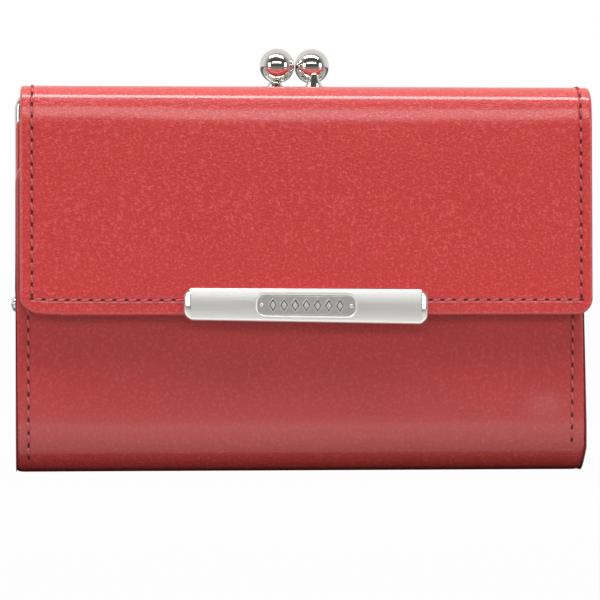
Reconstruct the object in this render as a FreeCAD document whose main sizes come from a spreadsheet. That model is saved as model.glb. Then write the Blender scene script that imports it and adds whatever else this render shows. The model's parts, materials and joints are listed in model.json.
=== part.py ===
import FreeCAD, Part
import math
import os
import Sketcher

# A leather coin purse.  X runs across it, the front looks along -Y and Z is up.
# The origin is in the middle of its footprint, on the surface that it stands on.

document = FreeCAD.newDocument("CoinPurse")
sheet = document.addObject("Spreadsheet::Sheet", "Sizes")
vector = FreeCAD.Vector
upward = vector(0, 0, 1)

dimensions = [
    ("case_width", 139.0, "width of the cover strip and of its leaves"),
    ("cover_shift", 1.2, "how far the flap and back cover sit to the right"),
    ("leather", 1.1, "cover leather"),
    ("lining", 0.7, "lining cloth"),
    ("flap_stiffener", 0.6, "board inside the flap and its bridge"),
    ("leaf_stiffener", 0.8, "board inside the front and middle leaves"),
    ("slot_leather", 0.6, "one card slot panel"),
    ("leaf_gap", 0.4, "air between leaves of different bodies"),
    ("bill_space", 2.4, "inside of the bill compartment, front to back"),
    ("coin_space", 5.8, "inside of the coin pouch, front to back"),
    ("divider", 0.4, "sheet that divides the bill compartment"),
    ("board_inset", 1.2, "how far a board stays inside the leaf's edge"),
    ("slot_inset", 2.0, "how far a card slot stays inside the leaf's edge"),
    ("slot_first", 14.0, "from a leaf's top down to its upper slot"),
    ("slot_step", 12.0, "from one card slot's top to the next"),
    ("flap_top", 94.0, "height of the flap's folded top"),
    ("flap_drop", 55.6, "from the flap's top to its hem"),
    ("flap_round", 4.0, "corner radius at the flap's hem"),
    ("fold_round", 3.2, "outer radius of the flap's two folds"),
    ("fold_gap", 0.05, "between a fold and the panel that swings beside it"),
    ("front_height", 78.0, "top of the front leaf"),
    ("leaf_round", 8.0, "corner radius at the top of a leaf"),
    ("middle_height", 86.5, "top of the middle leaf"),
    ("spine_round", 4.5, "outer radius where the front leaf meets the spine"),
    ("rear_round", 3.0, "outer radius where the spine meets the back cover"),
    ("gusset_inset", 1.5, "how far the bill gussets stay inside the edge"),
    ("gusset_drop", 8.0, "from the middle leaf's top to the bill gussets"),
    ("frame_width", 140.0, "width of the metal frame"),
    ("frame_top", 93.5, "height of the metal frame"),
    ("frame_band", 6.0, "width of the channel seen from the front"),
    ("frame_wall", 0.6, "sheet thickness of the channel"),
    ("frame_round", 5.0, "outer corner radius of the frame"),
    ("frame_inner_round", 2.0, "inner corner radius of the frame"),
    ("frame_clear", 0.1, "between the frame and the back cover"),
    ("frame_part", 0.2, "between the two halves of the frame"),
    ("panel_clear", 0.2, "between a pouch panel's edge and its channel"),
    ("cord_band", 3.4, "width of the packing cord in the channel"),
    ("hinge_height", 40.7, "height of the frame's hinge rivets"),
    ("hinge_leg_front", 3.0, "from the hinge up to the front half's legs"),
    ("hinge_leg_rear", 4.4, "from the hinge up to the rear half's legs"),
    ("lug_clear", 0.3, "between a round lug and the pouch's linings"),
    ("stiffener_clear", 1.4, "from the round lugs down to the pouch stiffener"),
    ("lug_thick", 0.8, "thickness of a lug"),
    ("lug_reach", 7.4, "from the hinge up to where a lug ends in its leg"),
    ("lug_gap", 0.1, "between the lugs, and the lug and the rivet's tail"),
    ("rivet_radius", 1.0, "shank of a hinge rivet"),
    ("rivet_clear", 0.05, "radial clearance of the hinge"),
    ("rivet_head", 1.9, "radius of a hinge rivet's head"),
    ("rivet_proud", 1.0, "height of a hinge rivet's head"),
    ("rivet_tail", 0.6, "thickness of a hinge rivet's tail"),
    ("fold_low", 6.7, "from the hinge down to the lower back panel"),
    ("fold_high", 6.3, "from the hinge up to the upper back panel"),
    ("pouch_gusset", 1.1, "leather of the pouch's side gussets"),
    ("pouch_inset", 2.0, "how far the side gussets stay inside the frame"),
    ("ball_radius", 4.3, "ball of the kiss clasp"),
    ("ball_spread", 4.47, "from the middle to a ball's centre"),
    ("ball_height", 6.3, "from the frame's top to a ball's centre"),
    ("ball_lean", 0.6, "how far a ball passes over to the other half"),
    ("stem_spread", 4.8, "from the middle to a stem's centre"),
    ("stem_width", 6.2, "foot of a clasp stem, across the purse"),
    ("stem_depth", 4.8, "foot of a clasp stem, front to back"),
    ("stem_round", 2.3, "corner radius of the foot"),
    ("stem_tip", 0.9, "rounded tip of a clasp stem"),
    ("stem_corner", 0.81, "corner radius of the stem's section just under its tip"),
    ("stem_height", 3.9, "height of a clasp stem"),
    ("stem_back", 2.7, "from the parting plane to a stem's centre"),
    ("bar_width", 59.3, "metal bar on the hem"),
    ("bar_height", 7.8, "height of the bar"),
    ("bar_proud", 3.0, "how far the bar stands out from the flap"),
    ("bar_shift", 0.6, "the bar's middle, right of the purse's middle"),
    ("bar_overhang", 1.8, "how far the bar hangs below the hem"),
    ("bar_edge", 0.5, "rounded edges of the bar"),
    ("window_width", 23.7, "recess in the bar"),
    ("window_height", 4.7, "height of the recess"),
    ("window_depth", 0.9, "depth of the recess"),
    ("window_round", 0.9, "corner radius of the recess"),
    ("inlay_thick", 0.4, "plate on the floor of the recess"),
    ("inlay_clear", 0.2, "between the plate and the recess"),
    ("pin_radius", 0.45, "pins that hold the plate"),
    ("pin_proud", 0.25, "height of a pin's head"),
    ("pin_spread", 10.9, "from the bar's middle to a pin"),
    ("post_spread", 22.0, "from the bar's middle to a post"),
    ("post_rise", 3.1, "from the hem up to the posts"),
    ("post_radius", 1.0, "posts that hold the bar"),
    ("washer_radius", 2.2, "washers on the posts"),
    ("snap_rise", 8.4, "from the hem up to the press stud"),
    ("snap_flange", 4.5, "radius of the socket's flange and the back plate"),
    ("snap_radius", 3.5, "radius of the socket and of the stud's base"),
    ("snap_hole", 2.2, "hole in the socket"),
    ("snap_post", 1.9, "post of the stud"),
    ("snap_floor", 0.3, "floor of the socket"),
    ("snap_base", 0.5, "thickness of the stud's base"),
    ("snap_shank", 1.0, "shank between the base and the back plate"),
    ("snap_end_gap", 0.1, "between the post's tip and the socket's floor"),
    ("thread_pitch", 2.8, "one stitch to the next"),
    ("thread_length", 2.0, "visible length of a stitch"),
    ("thread_width", 0.55, "width of the thread"),
    ("thread_proud", 0.2, "how far the thread stands out"),
    ("flap_seam", 3.0, "from an edge to the line of stitches"),
    ("hem_seam", 3.5, "from the hem to the line of stitches"),
]

# The layers of the closed purse from front to back: name, thickness.
layers = [
    ("bar", "Sizes.bar_proud"),
    ("flap_outer", "Sizes.leather"),
    ("flap_board", "Sizes.flap_stiffener"),
    ("flap_lining", "Sizes.lining"),
    ("flap_air", "Sizes.leaf_gap"),
    ("front_outer", "Sizes.leather"),
    ("front_board", "Sizes.leaf_stiffener"),
    ("front_lining", "Sizes.lining"),
    ("front_slot_upper", "Sizes.slot_leather"),
    ("front_slot_middle", "Sizes.slot_leather"),
    ("front_slot_lower", "Sizes.slot_leather"),
    ("leaf_air", "Sizes.leaf_gap"),
    ("middle_slot_lower", "Sizes.slot_leather"),
    ("middle_slot_middle", "Sizes.slot_leather"),
    ("middle_slot_upper", "Sizes.slot_leather"),
    ("middle_board", "Sizes.leaf_stiffener"),
    ("middle_lining", "Sizes.lining"),
    ("bills", "Sizes.bill_space"),
    ("back_lining", "Sizes.lining"),
    ("back_cover", "Sizes.leather"),
    ("pouch_stiffener", "(Sizes.frame_clear + Sizes.frame_wall)"),
    ("pouch_front", "Sizes.leather"),
    ("pouch_front_lining", "Sizes.lining"),
    ("coins", "Sizes.coin_space"),
    ("pouch_back_lining", "Sizes.lining"),
    ("pouch_back", "Sizes.leather"),
    ("frame_back", "Sizes.frame_wall"),
]

nodes = []
bored = []


def fill_sheet():
    for row, (alias, value, meaning) in enumerate(dimensions, 1):
        sheet.set(f"A{row}", alias)
        sheet.set(f"B{row}", str(value))
        sheet.setAlias(f"B{row}", alias)
        sheet.set(f"C{row}", meaning)
    document.recompute()


def number(expression):
    return float(sheet.evalExpression(expression))


def layer_faces():
    # The whole depth is centred on the origin, so every face follows from the layers in front of it.
    total = " + ".join(thickness for name, thickness in layers)
    place = f"-({total}) / 2"
    front = {}
    back = {}
    for name, thickness in layers:
        front[name] = f"({place})"
        place = f"{place} + {thickness}"
        back[name] = f"({place})"
    return front, back


fill_sheet()
front, back = layer_faces()
half = "Sizes.case_width / 2"
cover_left = "(Sizes.cover_shift - Sizes.case_width / 2)"
cover_right = "(Sizes.cover_shift + Sizes.case_width / 2)"
hem = "(Sizes.flap_top - Sizes.flap_drop)"
parting = f"({back['coins']} - Sizes.coin_space / 2)"
lug_radius = "(Sizes.coin_space / 2 - Sizes.lug_clear)"


def keep(item, name):
    item.Label = name
    nodes.append(item)
    return item


def sketch_on(body, role, offset):
    origin_plane = next(item for item in body.Origin.OriginFeatures if item.Role == role)
    sketch = body.newObject("Sketcher::SketchObject", "sketch")
    sketch.AttachmentSupport = [(origin_plane, "")]
    sketch.MapMode = "FlatFace"
    sketch.setExpression("AttachmentOffset.Base.z", offset)
    return sketch


def bind(sketch, kind, places, expression):
    index = sketch.addConstraint(Sketcher.Constraint(kind, *places, number(expression)))
    sketch.setExpression(f"Constraints[{index}]", expression)


def draw_outline(sketch, left, right, low, high, low_round, high_round):
    # A rectangle with its lower and its upper corners rounded, or sharp where the radius is None.
    x0, x1, z0, z1 = [number(side) for side in (left, right, low, high)]
    low_radius = number(low_round) if low_round else 0
    high_radius = number(high_round) if high_round else 0
    points = [
        (x0 + low_radius, z0), (x1 - low_radius, z0), (x1, z0 + low_radius), (x1, z1 - high_radius),
        (x1 - high_radius, z1), (x0 + high_radius, z1), (x0, z1 - high_radius), (x0, z0 + low_radius),
    ]
    for side in range(4):
        start, end = points[2 * side], points[2 * side + 1]
        sketch.addGeometry(Part.LineSegment(vector(*start, 0), vector(*end, 0)))
    corners = [
        (low_round, x1 - low_radius, z0 + low_radius), (high_round, x1 - high_radius, z1 - high_radius),
        (high_round, x0 + high_radius, z1 - high_radius), (low_round, x0 + low_radius, z0 + low_radius),
    ]
    for side, (radius, x, z) in enumerate(corners):
        following = (side + 1) % 4
        if radius is None:
            sketch.addConstraint(Sketcher.Constraint("Coincident", side, 2, following, 1))
            continue
        circle = Part.Circle(vector(x, z, 0), upward, number(radius))
        quarter = math.pi / 2
        arc = sketch.addGeometry(Part.ArcOfCircle(circle, quarter * (side - 1), quarter * side))
        sketch.addConstraint(Sketcher.Constraint("Tangent", side, 2, arc, 1))
        sketch.addConstraint(Sketcher.Constraint("Tangent", arc, 2, following, 1))
        bind(sketch, "Radius", (arc,), radius)
    for side, kind in enumerate(("Horizontal", "Vertical", "Horizontal", "Vertical")):
        sketch.addConstraint(Sketcher.Constraint(kind, side))
    bind(sketch, "DistanceX", (-1, 1, 3, 1), left)
    bind(sketch, "DistanceX", (-1, 1, 1, 1), right)
    bind(sketch, "DistanceY", (-1, 1, 0, 1), low)
    bind(sketch, "DistanceY", (-1, 1, 2, 1), high)


def pad_outline(name, role, offset, thickness, outline):
    body = document.addObject("PartDesign::Body", name)
    sketch = sketch_on(body, role, offset)
    draw_outline(sketch, *outline)
    pad = body.newObject("PartDesign::Pad", "pad")
    pad.Profile = sketch
    pad.setExpression("Length", thickness)
    return body


def upright(name, left, right, low, high, near, far, low_round=None, high_round=None):
    # A flat piece that stands on edge, from the Y place near to the Y place far.
    outline = (left, right, low, high, low_round, high_round)
    return pad_outline(name, "XZ_Plane", f"-({far})", f"({far}) - ({near})", outline)


def level(name, left, right, near, far, low, high):
    # A flat piece that lies level, from the height low to the height high.
    outline = (left, right, near, far, None, None)
    return pad_outline(name, "XY_Plane", low, f"({high}) - ({low})", outline)


def pocket_outline(body, outline, near, far):
    sketch = sketch_on(body, "XZ_Plane", f"-({near})")
    draw_outline(sketch, *outline)
    pocket = body.newObject("PartDesign::Pocket", "pocket")
    pocket.Profile = sketch
    pocket.setExpression("Length", f"({far}) - ({near})")
    bored.append(body)


def pocket_round(body, x, z, radius, near, far):
    sketch = sketch_on(body, "XZ_Plane", f"-({near})")
    centre = vector(number(x), number(z), 0)
    sketch.addGeometry(Part.Circle(centre, upward, number(radius)))
    bind(sketch, "Radius", (0,), radius)
    bind(sketch, "DistanceX", (-1, 1, 0, 3), x)
    bind(sketch, "DistanceY", (-1, 1, 0, 3), z)
    pocket = body.newObject("PartDesign::Pocket", "pocket")
    pocket.Profile = sketch
    pocket.setExpression("Length", f"({far}) - ({near})")
    bored.append(body)


def place(item, x, y, z, rotation=None):
    if rotation:
        item.Placement = FreeCAD.Placement(vector(0, 0, 0), rotation)
    item.setExpression("Placement.Base.x", x)
    item.setExpression("Placement.Base.y", y)
    item.setExpression("Placement.Base.z", z)
    return item


def disc_across(x, y, z, radius, thickness):
    # A cylinder along X that starts at x.
    item = document.addObject("Part::Cylinder", "disc")
    item.setExpression("Radius", radius)
    item.setExpression("Height", thickness)
    return place(item, x, y, z, FreeCAD.Rotation(vector(0, 1, 0), 90))


def disc_facing(x, near, far, z, radius):
    # A cylinder along Y, from the Y place near to the Y place far.
    item = document.addObject("Part::Cylinder", "disc")
    item.setExpression("Radius", radius)
    item.setExpression("Height", f"({far}) - ({near})")
    return place(item, x, near, z, FreeCAD.Rotation(vector(1, 0, 0), -90))


def box(left, right, near, far, low, high):
    item = document.addObject("Part::Box", "box")
    item.setExpression("Length", f"({right}) - ({left})")
    item.setExpression("Width", f"({far}) - ({near})")
    item.setExpression("Height", f"({high}) - ({low})")
    return place(item, left, near, low)


def fuse(items):
    item = document.addObject("Part::MultiFuse", "fuse")
    item.Shapes = items
    return item


def cut(base, tool):
    item = document.addObject("Part::Cut", "cut")
    item.Base = base
    item.Tool = tool
    return item


def quarter_strip(left, right, y, z, radius, thickness, quadrant):
    # A quarter of a tube along X.  Quadrant 0 is low behind, 1 high behind, 2 high in front, 3 low in front.
    turn = FreeCAD.Rotation(vector(0, 1, 0), 90)
    spin = FreeCAD.Rotation(vector(0, 0, 1), 90 * quadrant)
    outer = document.addObject("Part::Cylinder", "outer")
    outer.Angle = 90
    outer.setExpression("Radius", radius)
    outer.setExpression("Height", f"({right}) - ({left})")
    place(outer, left, y, z, turn.multiply(spin))
    return cut(outer, disc_across(left, y, z, f"({radius}) - ({thickness})", f"({right}) - ({left})"))


def sides():
    # Left is -1 and right is 1, each with the name that its piece carries.
    return ((-1, "left"), (1, "right"))


def build_back():
    low = "Sizes.rear_round"
    top = "(Sizes.flap_top - Sizes.fold_round)"
    inner_left = f"-{half}"
    outer = upright("back_cover", cover_left, cover_right, low, top, front["back_cover"], back["back_cover"])
    keep(outer, "back_cover")
    lining = upright(
        "back_lining", inner_left, half, low, "Sizes.middle_height", front["back_lining"],
        back["back_lining"], None, "Sizes.leaf_round")
    keep(lining, "back_lining")


def build_spine():
    flat_start = f"({front['front_outer']} + Sizes.spine_round)"
    flat_end = f"({back['back_cover']} - Sizes.rear_round)"
    left = f"-{half}"
    keep(level("spine_bottom", left, half, flat_start, flat_end, "0", "Sizes.leather"), "spine_bottom")
    rear = quarter_strip(left, half, flat_end, "Sizes.rear_round", "Sizes.rear_round", "Sizes.leather", 0)
    keep(rear, "spine_rear_corner")
    corner = quarter_strip(
        left, half, flat_start, "Sizes.spine_round", "Sizes.spine_round", "Sizes.leather", 3)
    keep(corner, "spine_front_corner")


def build_slots(leaf, top, low):
    left = f"-({half} - Sizes.slot_inset)"
    right = f"({half} - Sizes.slot_inset)"
    for order, level_name in enumerate(("upper", "middle", "lower")):
        name = f"{leaf}_slot_{level_name}"
        high = f"({top} - Sizes.slot_first - {order} * Sizes.slot_step)"
        keep(upright(name, left, right, low, high, front[name], back[name]), name)


def build_board(name, top, low):
    left = f"-({half} - Sizes.board_inset)"
    right = f"({half} - Sizes.board_inset)"
    high = f"({top} - Sizes.board_inset)"
    rounding = "(Sizes.leaf_round - Sizes.board_inset)"
    body = upright(name, left, right, low, high, front[name], back[name], None, rounding)
    return keep(body, name)


def build_middle_leaf():
    low = "Sizes.leather"
    build_slots("middle", "Sizes.middle_height", low)
    board = upright(
        "middle_board", f"-{half}", half, low, "Sizes.middle_height", front["middle_board"],
        back["middle_board"], None, "Sizes.leaf_round")
    keep(board, "middle_board")
    lining = upright(
        "middle_lining", f"-{half}", half, low, "Sizes.middle_height", front["middle_lining"],
        back["middle_lining"], None, "Sizes.leaf_round")
    keep(lining, "middle_lining")
    high = "(Sizes.middle_height - Sizes.gusset_drop)"
    for side, side_name in sides():
        outer = f"{side} * ({half} - Sizes.gusset_inset)"
        inner = f"{side} * ({half} - Sizes.gusset_inset - Sizes.lining)"
        left, right = (outer, inner) if side < 0 else (inner, outer)
        name = f"bill_gusset_{side_name}"
        keep(upright(name, left, right, "Sizes.rear_round", high, front["bills"], back["bills"]), name)
    middle = f"({front['bills']} + Sizes.bill_space / 2)"
    reach = f"({half} - Sizes.gusset_inset - 2 * Sizes.lining)"
    divider = upright(
        "bill_divider", f"-{reach}", reach, "Sizes.rear_round", high,
        f"({middle} - Sizes.divider / 2)", f"({middle} + Sizes.divider / 2)")
    keep(divider, "bill_divider")


def build_front_leaf():
    low = "(Sizes.spine_round + Sizes.fold_gap)"
    outer = upright(
        "front_outer", f"-{half}", half, low, "Sizes.front_height", front["front_outer"],
        back["front_outer"], None, "Sizes.leaf_round")
    snap_height = f"({hem} + Sizes.snap_rise)"
    pocket_round(
        outer, "Sizes.bar_shift", snap_height, "Sizes.snap_radius", front["front_outer"],
        f"{front['front_outer']} + Sizes.snap_base")
    pocket_round(
        outer, "Sizes.bar_shift", snap_height, "Sizes.snap_shank",
        f"{front['front_outer']} + Sizes.snap_base", back["front_outer"])
    keep(outer, "front_outer")
    board = build_board("front_board", "Sizes.front_height", low)
    pocket_round(
        board, "Sizes.bar_shift", snap_height, "Sizes.snap_flange", front["front_board"],
        back["front_board"])
    lining = upright(
        "front_lining", f"-{half}", half, low, "Sizes.front_height", front["front_lining"],
        back["front_lining"], None, "Sizes.leaf_round")
    keep(lining, "front_lining")
    build_slots("front", "Sizes.front_height", low)


def build_snap():
    x = "Sizes.bar_shift"
    z = f"({hem} + Sizes.snap_rise)"
    socket_floor = f"({front['flap_board']} + Sizes.snap_floor)"
    flange = disc_facing(x, front["flap_board"], back["flap_board"], z, "Sizes.snap_flange")
    ring = disc_facing(x, front["flap_lining"], back["flap_lining"], z, "Sizes.snap_radius")
    hole = disc_facing(x, socket_floor, back["flap_lining"], z, "Sizes.snap_hole")
    keep(cut(fuse([flange, ring]), hole), "snap_socket")
    base_back = f"({front['front_outer']} + Sizes.snap_base)"
    tip = f"({socket_floor} + Sizes.snap_end_gap)"
    stud = fuse([
        disc_facing(x, tip, base_back, z, "Sizes.snap_post"),
        disc_facing(x, front["front_outer"], base_back, z, "Sizes.snap_radius"),
        disc_facing(x, base_back, back["front_outer"], z, "Sizes.snap_shank"),
        disc_facing(x, front["front_board"], back["front_board"], z, "Sizes.snap_flange"),
    ])
    keep(stud, "snap_stud")


def post_places():
    return [f"(Sizes.bar_shift + {side} * Sizes.post_spread)" for side, side_name in sides()]


def build_flap():
    high = "(Sizes.flap_top - Sizes.fold_round - Sizes.fold_gap)"
    outer = upright(
        "flap_outer", cover_left, cover_right, hem, high, front["flap_outer"], back["flap_outer"],
        "Sizes.flap_round")
    board = upright(
        "flap_board", f"{cover_left} + Sizes.board_inset", f"{cover_right} - Sizes.board_inset",
        f"{hem} + Sizes.board_inset", high, front["flap_board"], back["flap_board"],
        "(Sizes.flap_round - Sizes.board_inset)")
    lining = upright(
        "flap_lining", cover_left, cover_right, hem, high, front["flap_lining"], back["flap_lining"],
        "Sizes.flap_round")
    post_height = f"({hem} + Sizes.post_rise)"
    for x in post_places():
        pocket_round(outer, x, post_height, "Sizes.post_radius", front["flap_outer"], back["flap_outer"])
        pocket_round(board, x, post_height, "Sizes.washer_radius", front["flap_board"], back["flap_board"])
    snap_height = f"({hem} + Sizes.snap_rise)"
    x = "Sizes.bar_shift"
    pocket_round(board, x, snap_height, "Sizes.snap_flange", front["flap_board"], back["flap_board"])
    pocket_round(lining, x, snap_height, "Sizes.snap_radius", front["flap_lining"], back["flap_lining"])
    keep(outer, "flap_outer")
    keep(board, "flap_board")
    keep(lining, "flap_lining")


def build_bar():
    low = f"({hem} - Sizes.bar_overhang)"
    high = f"({low} + Sizes.bar_height)"
    middle = f"({low} + Sizes.bar_height / 2)"
    left = "(Sizes.bar_shift - Sizes.bar_width / 2)"
    right = "(Sizes.bar_shift + Sizes.bar_width / 2)"
    bar = upright(
        "closure_bar", left, right, low, high, front["bar"], back["bar"], "Sizes.bar_edge", "Sizes.bar_edge")
    window = (
        "(Sizes.bar_shift - Sizes.window_width / 2)", "(Sizes.bar_shift + Sizes.window_width / 2)",
        f"({middle} - Sizes.window_height / 2)", f"({middle} + Sizes.window_height / 2)",
        "Sizes.window_round", "Sizes.window_round")
    floor = f"({front['bar']} + Sizes.window_depth)"
    pocket_outline(bar, window, front["bar"], floor)
    keep(bar, "closure_bar")
    plate_face = f"({floor} - Sizes.inlay_thick)"
    inlay = upright(
        "bar_inlay", f"{window[0]} + Sizes.inlay_clear", f"{window[1]} - Sizes.inlay_clear",
        f"{window[2]} + Sizes.inlay_clear", f"{window[3]} - Sizes.inlay_clear", plate_face, floor,
        "(Sizes.window_round - Sizes.inlay_clear)", "(Sizes.window_round - Sizes.inlay_clear)")
    keep(inlay, "bar_inlay")
    pins = [
        disc_facing(
            f"(Sizes.bar_shift + {side} * Sizes.pin_spread)", f"({plate_face} - Sizes.pin_proud)",
            plate_face, middle, "Sizes.pin_radius")
        for side, side_name in sides()]
    keep(fuse(pins), "inlay_pins")
    post_height = f"({hem} + Sizes.post_rise)"
    posts = []
    washers = []
    for x in post_places():
        posts.append(disc_facing(x, back["bar"], back["flap_board"], post_height, "Sizes.post_radius"))
        plate = disc_facing(x, front["flap_board"], back["flap_board"], post_height, "Sizes.washer_radius")
        hole = disc_facing(x, front["flap_board"], back["flap_board"], post_height, "Sizes.post_radius")
        washers.append(cut(plate, hole))
    keep(fuse(posts), "bar_posts")
    keep(fuse(washers), "bar_washers")


def build_bridge():
    near = f"({front['flap_outer']} + Sizes.fold_round)"
    far = f"({back['back_cover']} - Sizes.fold_round - Sizes.fold_gap)"
    top = "Sizes.flap_top"
    leather_low = "(Sizes.flap_top - Sizes.leather)"
    board_low = "(Sizes.flap_top - Sizes.leather - Sizes.flap_stiffener)"
    lining_low = "(Sizes.flap_top - Sizes.leather - Sizes.flap_stiffener - Sizes.lining)"
    keep(level("bridge_outer", cover_left, cover_right, near, far, leather_low, top), "bridge_outer")
    board = level(
        "bridge_board", f"{cover_left} + Sizes.board_inset", f"{cover_right} - Sizes.board_inset",
        near, far, board_low, leather_low)
    keep(board, "bridge_board")
    lining = level("bridge_lining", cover_left, cover_right, near, far, lining_low, board_low)
    keep(lining, "bridge_lining")
    height = "(Sizes.flap_top - Sizes.fold_round)"
    front_fold = quarter_strip(
        cover_left, cover_right, near, height, "Sizes.fold_round", "Sizes.leather", 2)
    keep(front_fold, "flap_front_fold")
    rear_fold = quarter_strip(
        cover_left, cover_right, f"({back['back_cover']} - Sizes.fold_round)", height,
        "Sizes.fold_round", "Sizes.leather", 1)
    keep(rear_fold, "flap_rear_fold")


frame_half = "Sizes.frame_width / 2"
panel_half = "(Sizes.frame_width / 2 - Sizes.frame_wall - Sizes.panel_clear)"
panel_top = "(Sizes.frame_top - Sizes.frame_wall - Sizes.panel_clear)"
panel_round = "(Sizes.frame_round - Sizes.frame_wall - Sizes.panel_clear)"


def build_pouch():
    low = "Sizes.leather"
    fold_low = "(Sizes.hinge_height - Sizes.fold_low)"
    fold_high = "(Sizes.hinge_height + Sizes.fold_high)"
    stiffener = upright(
        "pouch_stiffener", f"-{half}", half, low,
        f"(Sizes.hinge_height - {lug_radius} - Sizes.stiffener_clear)",
        front["pouch_stiffener"], back["pouch_stiffener"])
    keep(stiffener, "pouch_stiffener")
    left = f"-{panel_half}"
    panel = upright(
        "pouch_front_panel", left, panel_half, low, panel_top, front["pouch_front"],
        back["pouch_front"], None, panel_round)
    keep(panel, "pouch_front_panel")
    lining = upright(
        "pouch_front_lining", left, panel_half, low, panel_top, front["pouch_front_lining"],
        back["pouch_front_lining"], None, panel_round)
    keep(lining, "pouch_front_lining")
    near, far = front["pouch_back"], back["pouch_back"]
    keep(upright("pouch_back_lower", left, panel_half, low, fold_low, near, far), "pouch_back_lower")
    keep(upright("pouch_back_fold", left, panel_half, fold_low, fold_high, near, far), "pouch_back_fold")
    upper = upright("pouch_back_upper", left, panel_half, fold_high, panel_top, near, far, None, panel_round)
    keep(upper, "pouch_back_upper")
    near, far = front["pouch_back_lining"], back["pouch_back_lining"]
    lower_lining = upright("pouch_lower_lining", left, panel_half, low, fold_low, near, far)
    keep(lower_lining, "pouch_lower_lining")
    upper_lining = upright(
        "pouch_upper_lining", left, panel_half, fold_high, panel_top, near, far, None, panel_round)
    keep(upper_lining, "pouch_upper_lining")
    bottom = level("pouch_bottom", left, panel_half, front["pouch_front"], back["pouch_back"], "0", low)
    keep(bottom, "pouch_bottom")
    for side, side_name in sides():
        outer = f"{side} * ({frame_half} - Sizes.pouch_inset)"
        inner = f"{side} * ({frame_half} - Sizes.pouch_inset - Sizes.pouch_gusset)"
        ends = (outer, inner) if side < 0 else (inner, outer)
        name = f"pouch_gusset_{side_name}"
        keep(upright(name, *ends, low, fold_low, front["coins"], back["coins"]), name)


def build_channel(name, near, far, slot_near, slot_far, leg_end):
    # An arch of folded sheet metal whose slot opens inwards and holds the pouch's edge.
    inner_half = f"({frame_half} - Sizes.frame_band)"
    slot_half = f"({frame_half} - Sizes.frame_wall)"
    channel = upright(
        name, f"-{frame_half}", frame_half, leg_end, "Sizes.frame_top", near, far, None, "Sizes.frame_round")
    below = "0"
    window = (
        f"-{inner_half}", inner_half, below, "(Sizes.frame_top - Sizes.frame_band)", None,
        "Sizes.frame_inner_round")
    pocket_outline(channel, window, near, far)
    slot = (
        f"-{slot_half}", slot_half, below, "(Sizes.frame_top - Sizes.frame_wall)", None,
        "(Sizes.frame_round - Sizes.frame_wall)")
    pocket_outline(channel, slot, slot_near, slot_far)
    return channel


def build_lugs(inner, near, far):
    # Each leg ends in a round lug with a straight neck, at the place inner in from the frame's side.
    pieces = []
    for side, side_name in sides():
        outer_place = f"({frame_half} - ({inner}))"
        left = f"-{outer_place}" if side < 0 else f"{outer_place} - Sizes.lug_thick"
        right = f"{left} + Sizes.lug_thick"
        pieces.append(disc_across(left, parting, "Sizes.hinge_height", lug_radius, "Sizes.lug_thick"))
        top = "(Sizes.hinge_height + Sizes.lug_reach)"
        pieces.append(box(left, right, near, far, "Sizes.hinge_height", top))
    return pieces


def hinge_bores(radius):
    reach = "Sizes.frame_band"
    return fuse([
        disc_across(f"-{frame_half}", parting, "Sizes.hinge_height", radius, reach),
        disc_across(f"({frame_half} - {reach})", parting, "Sizes.hinge_height", radius, reach),
    ])


def build_cord(name, near, far):
    # The cord that packs the pouch's edge into the slot.
    slot_half = f"({frame_half} - Sizes.frame_wall)"
    slot_top = "(Sizes.frame_top - Sizes.frame_wall)"
    slot_round = "(Sizes.frame_round - Sizes.frame_wall)"
    low = "(Sizes.hinge_height + Sizes.lug_reach + Sizes.panel_clear)"
    cord = upright(name, f"-{slot_half}", slot_half, low, slot_top, near, far, None, slot_round)
    inner_half = f"({slot_half} - Sizes.cord_band)"
    window = (
        f"-{inner_half}", inner_half, "0", f"({slot_top} - Sizes.cord_band)", None,
        f"({slot_round} - Sizes.cord_band)")
    pocket_outline(cord, window, near, far)
    keep(cord, name)


def build_frame():
    near_front = f"({front['pouch_front']} - Sizes.frame_wall)"
    far_front = f"({parting} - Sizes.frame_part / 2)"
    slot_far = f"({far_front} - Sizes.frame_wall)"
    front_end = "(Sizes.hinge_height + Sizes.hinge_leg_front)"
    front_channel = build_channel(
        "front_channel", near_front, far_front, front["pouch_front"], slot_far, front_end)
    front_lugs = build_lugs("0", f"{far_front} - {lug_radius}", far_front)
    front_half = cut(fuse([front_channel] + front_lugs), hinge_bores("Sizes.rivet_radius"))
    keep(front_half, "frame_front_half")
    near_rear = f"({parting} + Sizes.frame_part / 2)"
    slot_near = f"({near_rear} + Sizes.frame_wall)"
    rear_end = "(Sizes.hinge_height + Sizes.hinge_leg_rear)"
    rear_channel = build_channel(
        "rear_channel", near_rear, back["frame_back"], slot_near, back["pouch_back"], rear_end)
    rear_lugs = build_lugs(
        "Sizes.lug_thick + Sizes.lug_gap", near_rear, f"{near_rear} + {lug_radius}")
    rear_half = cut(
        fuse([rear_channel] + rear_lugs), hinge_bores("(Sizes.rivet_radius + Sizes.rivet_clear)"))
    keep(rear_half, "frame_rear_half")
    build_cord("front_packing_cord", back["pouch_front_lining"], slot_far)
    build_cord("rear_packing_cord", slot_near, front["pouch_back_lining"])


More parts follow.
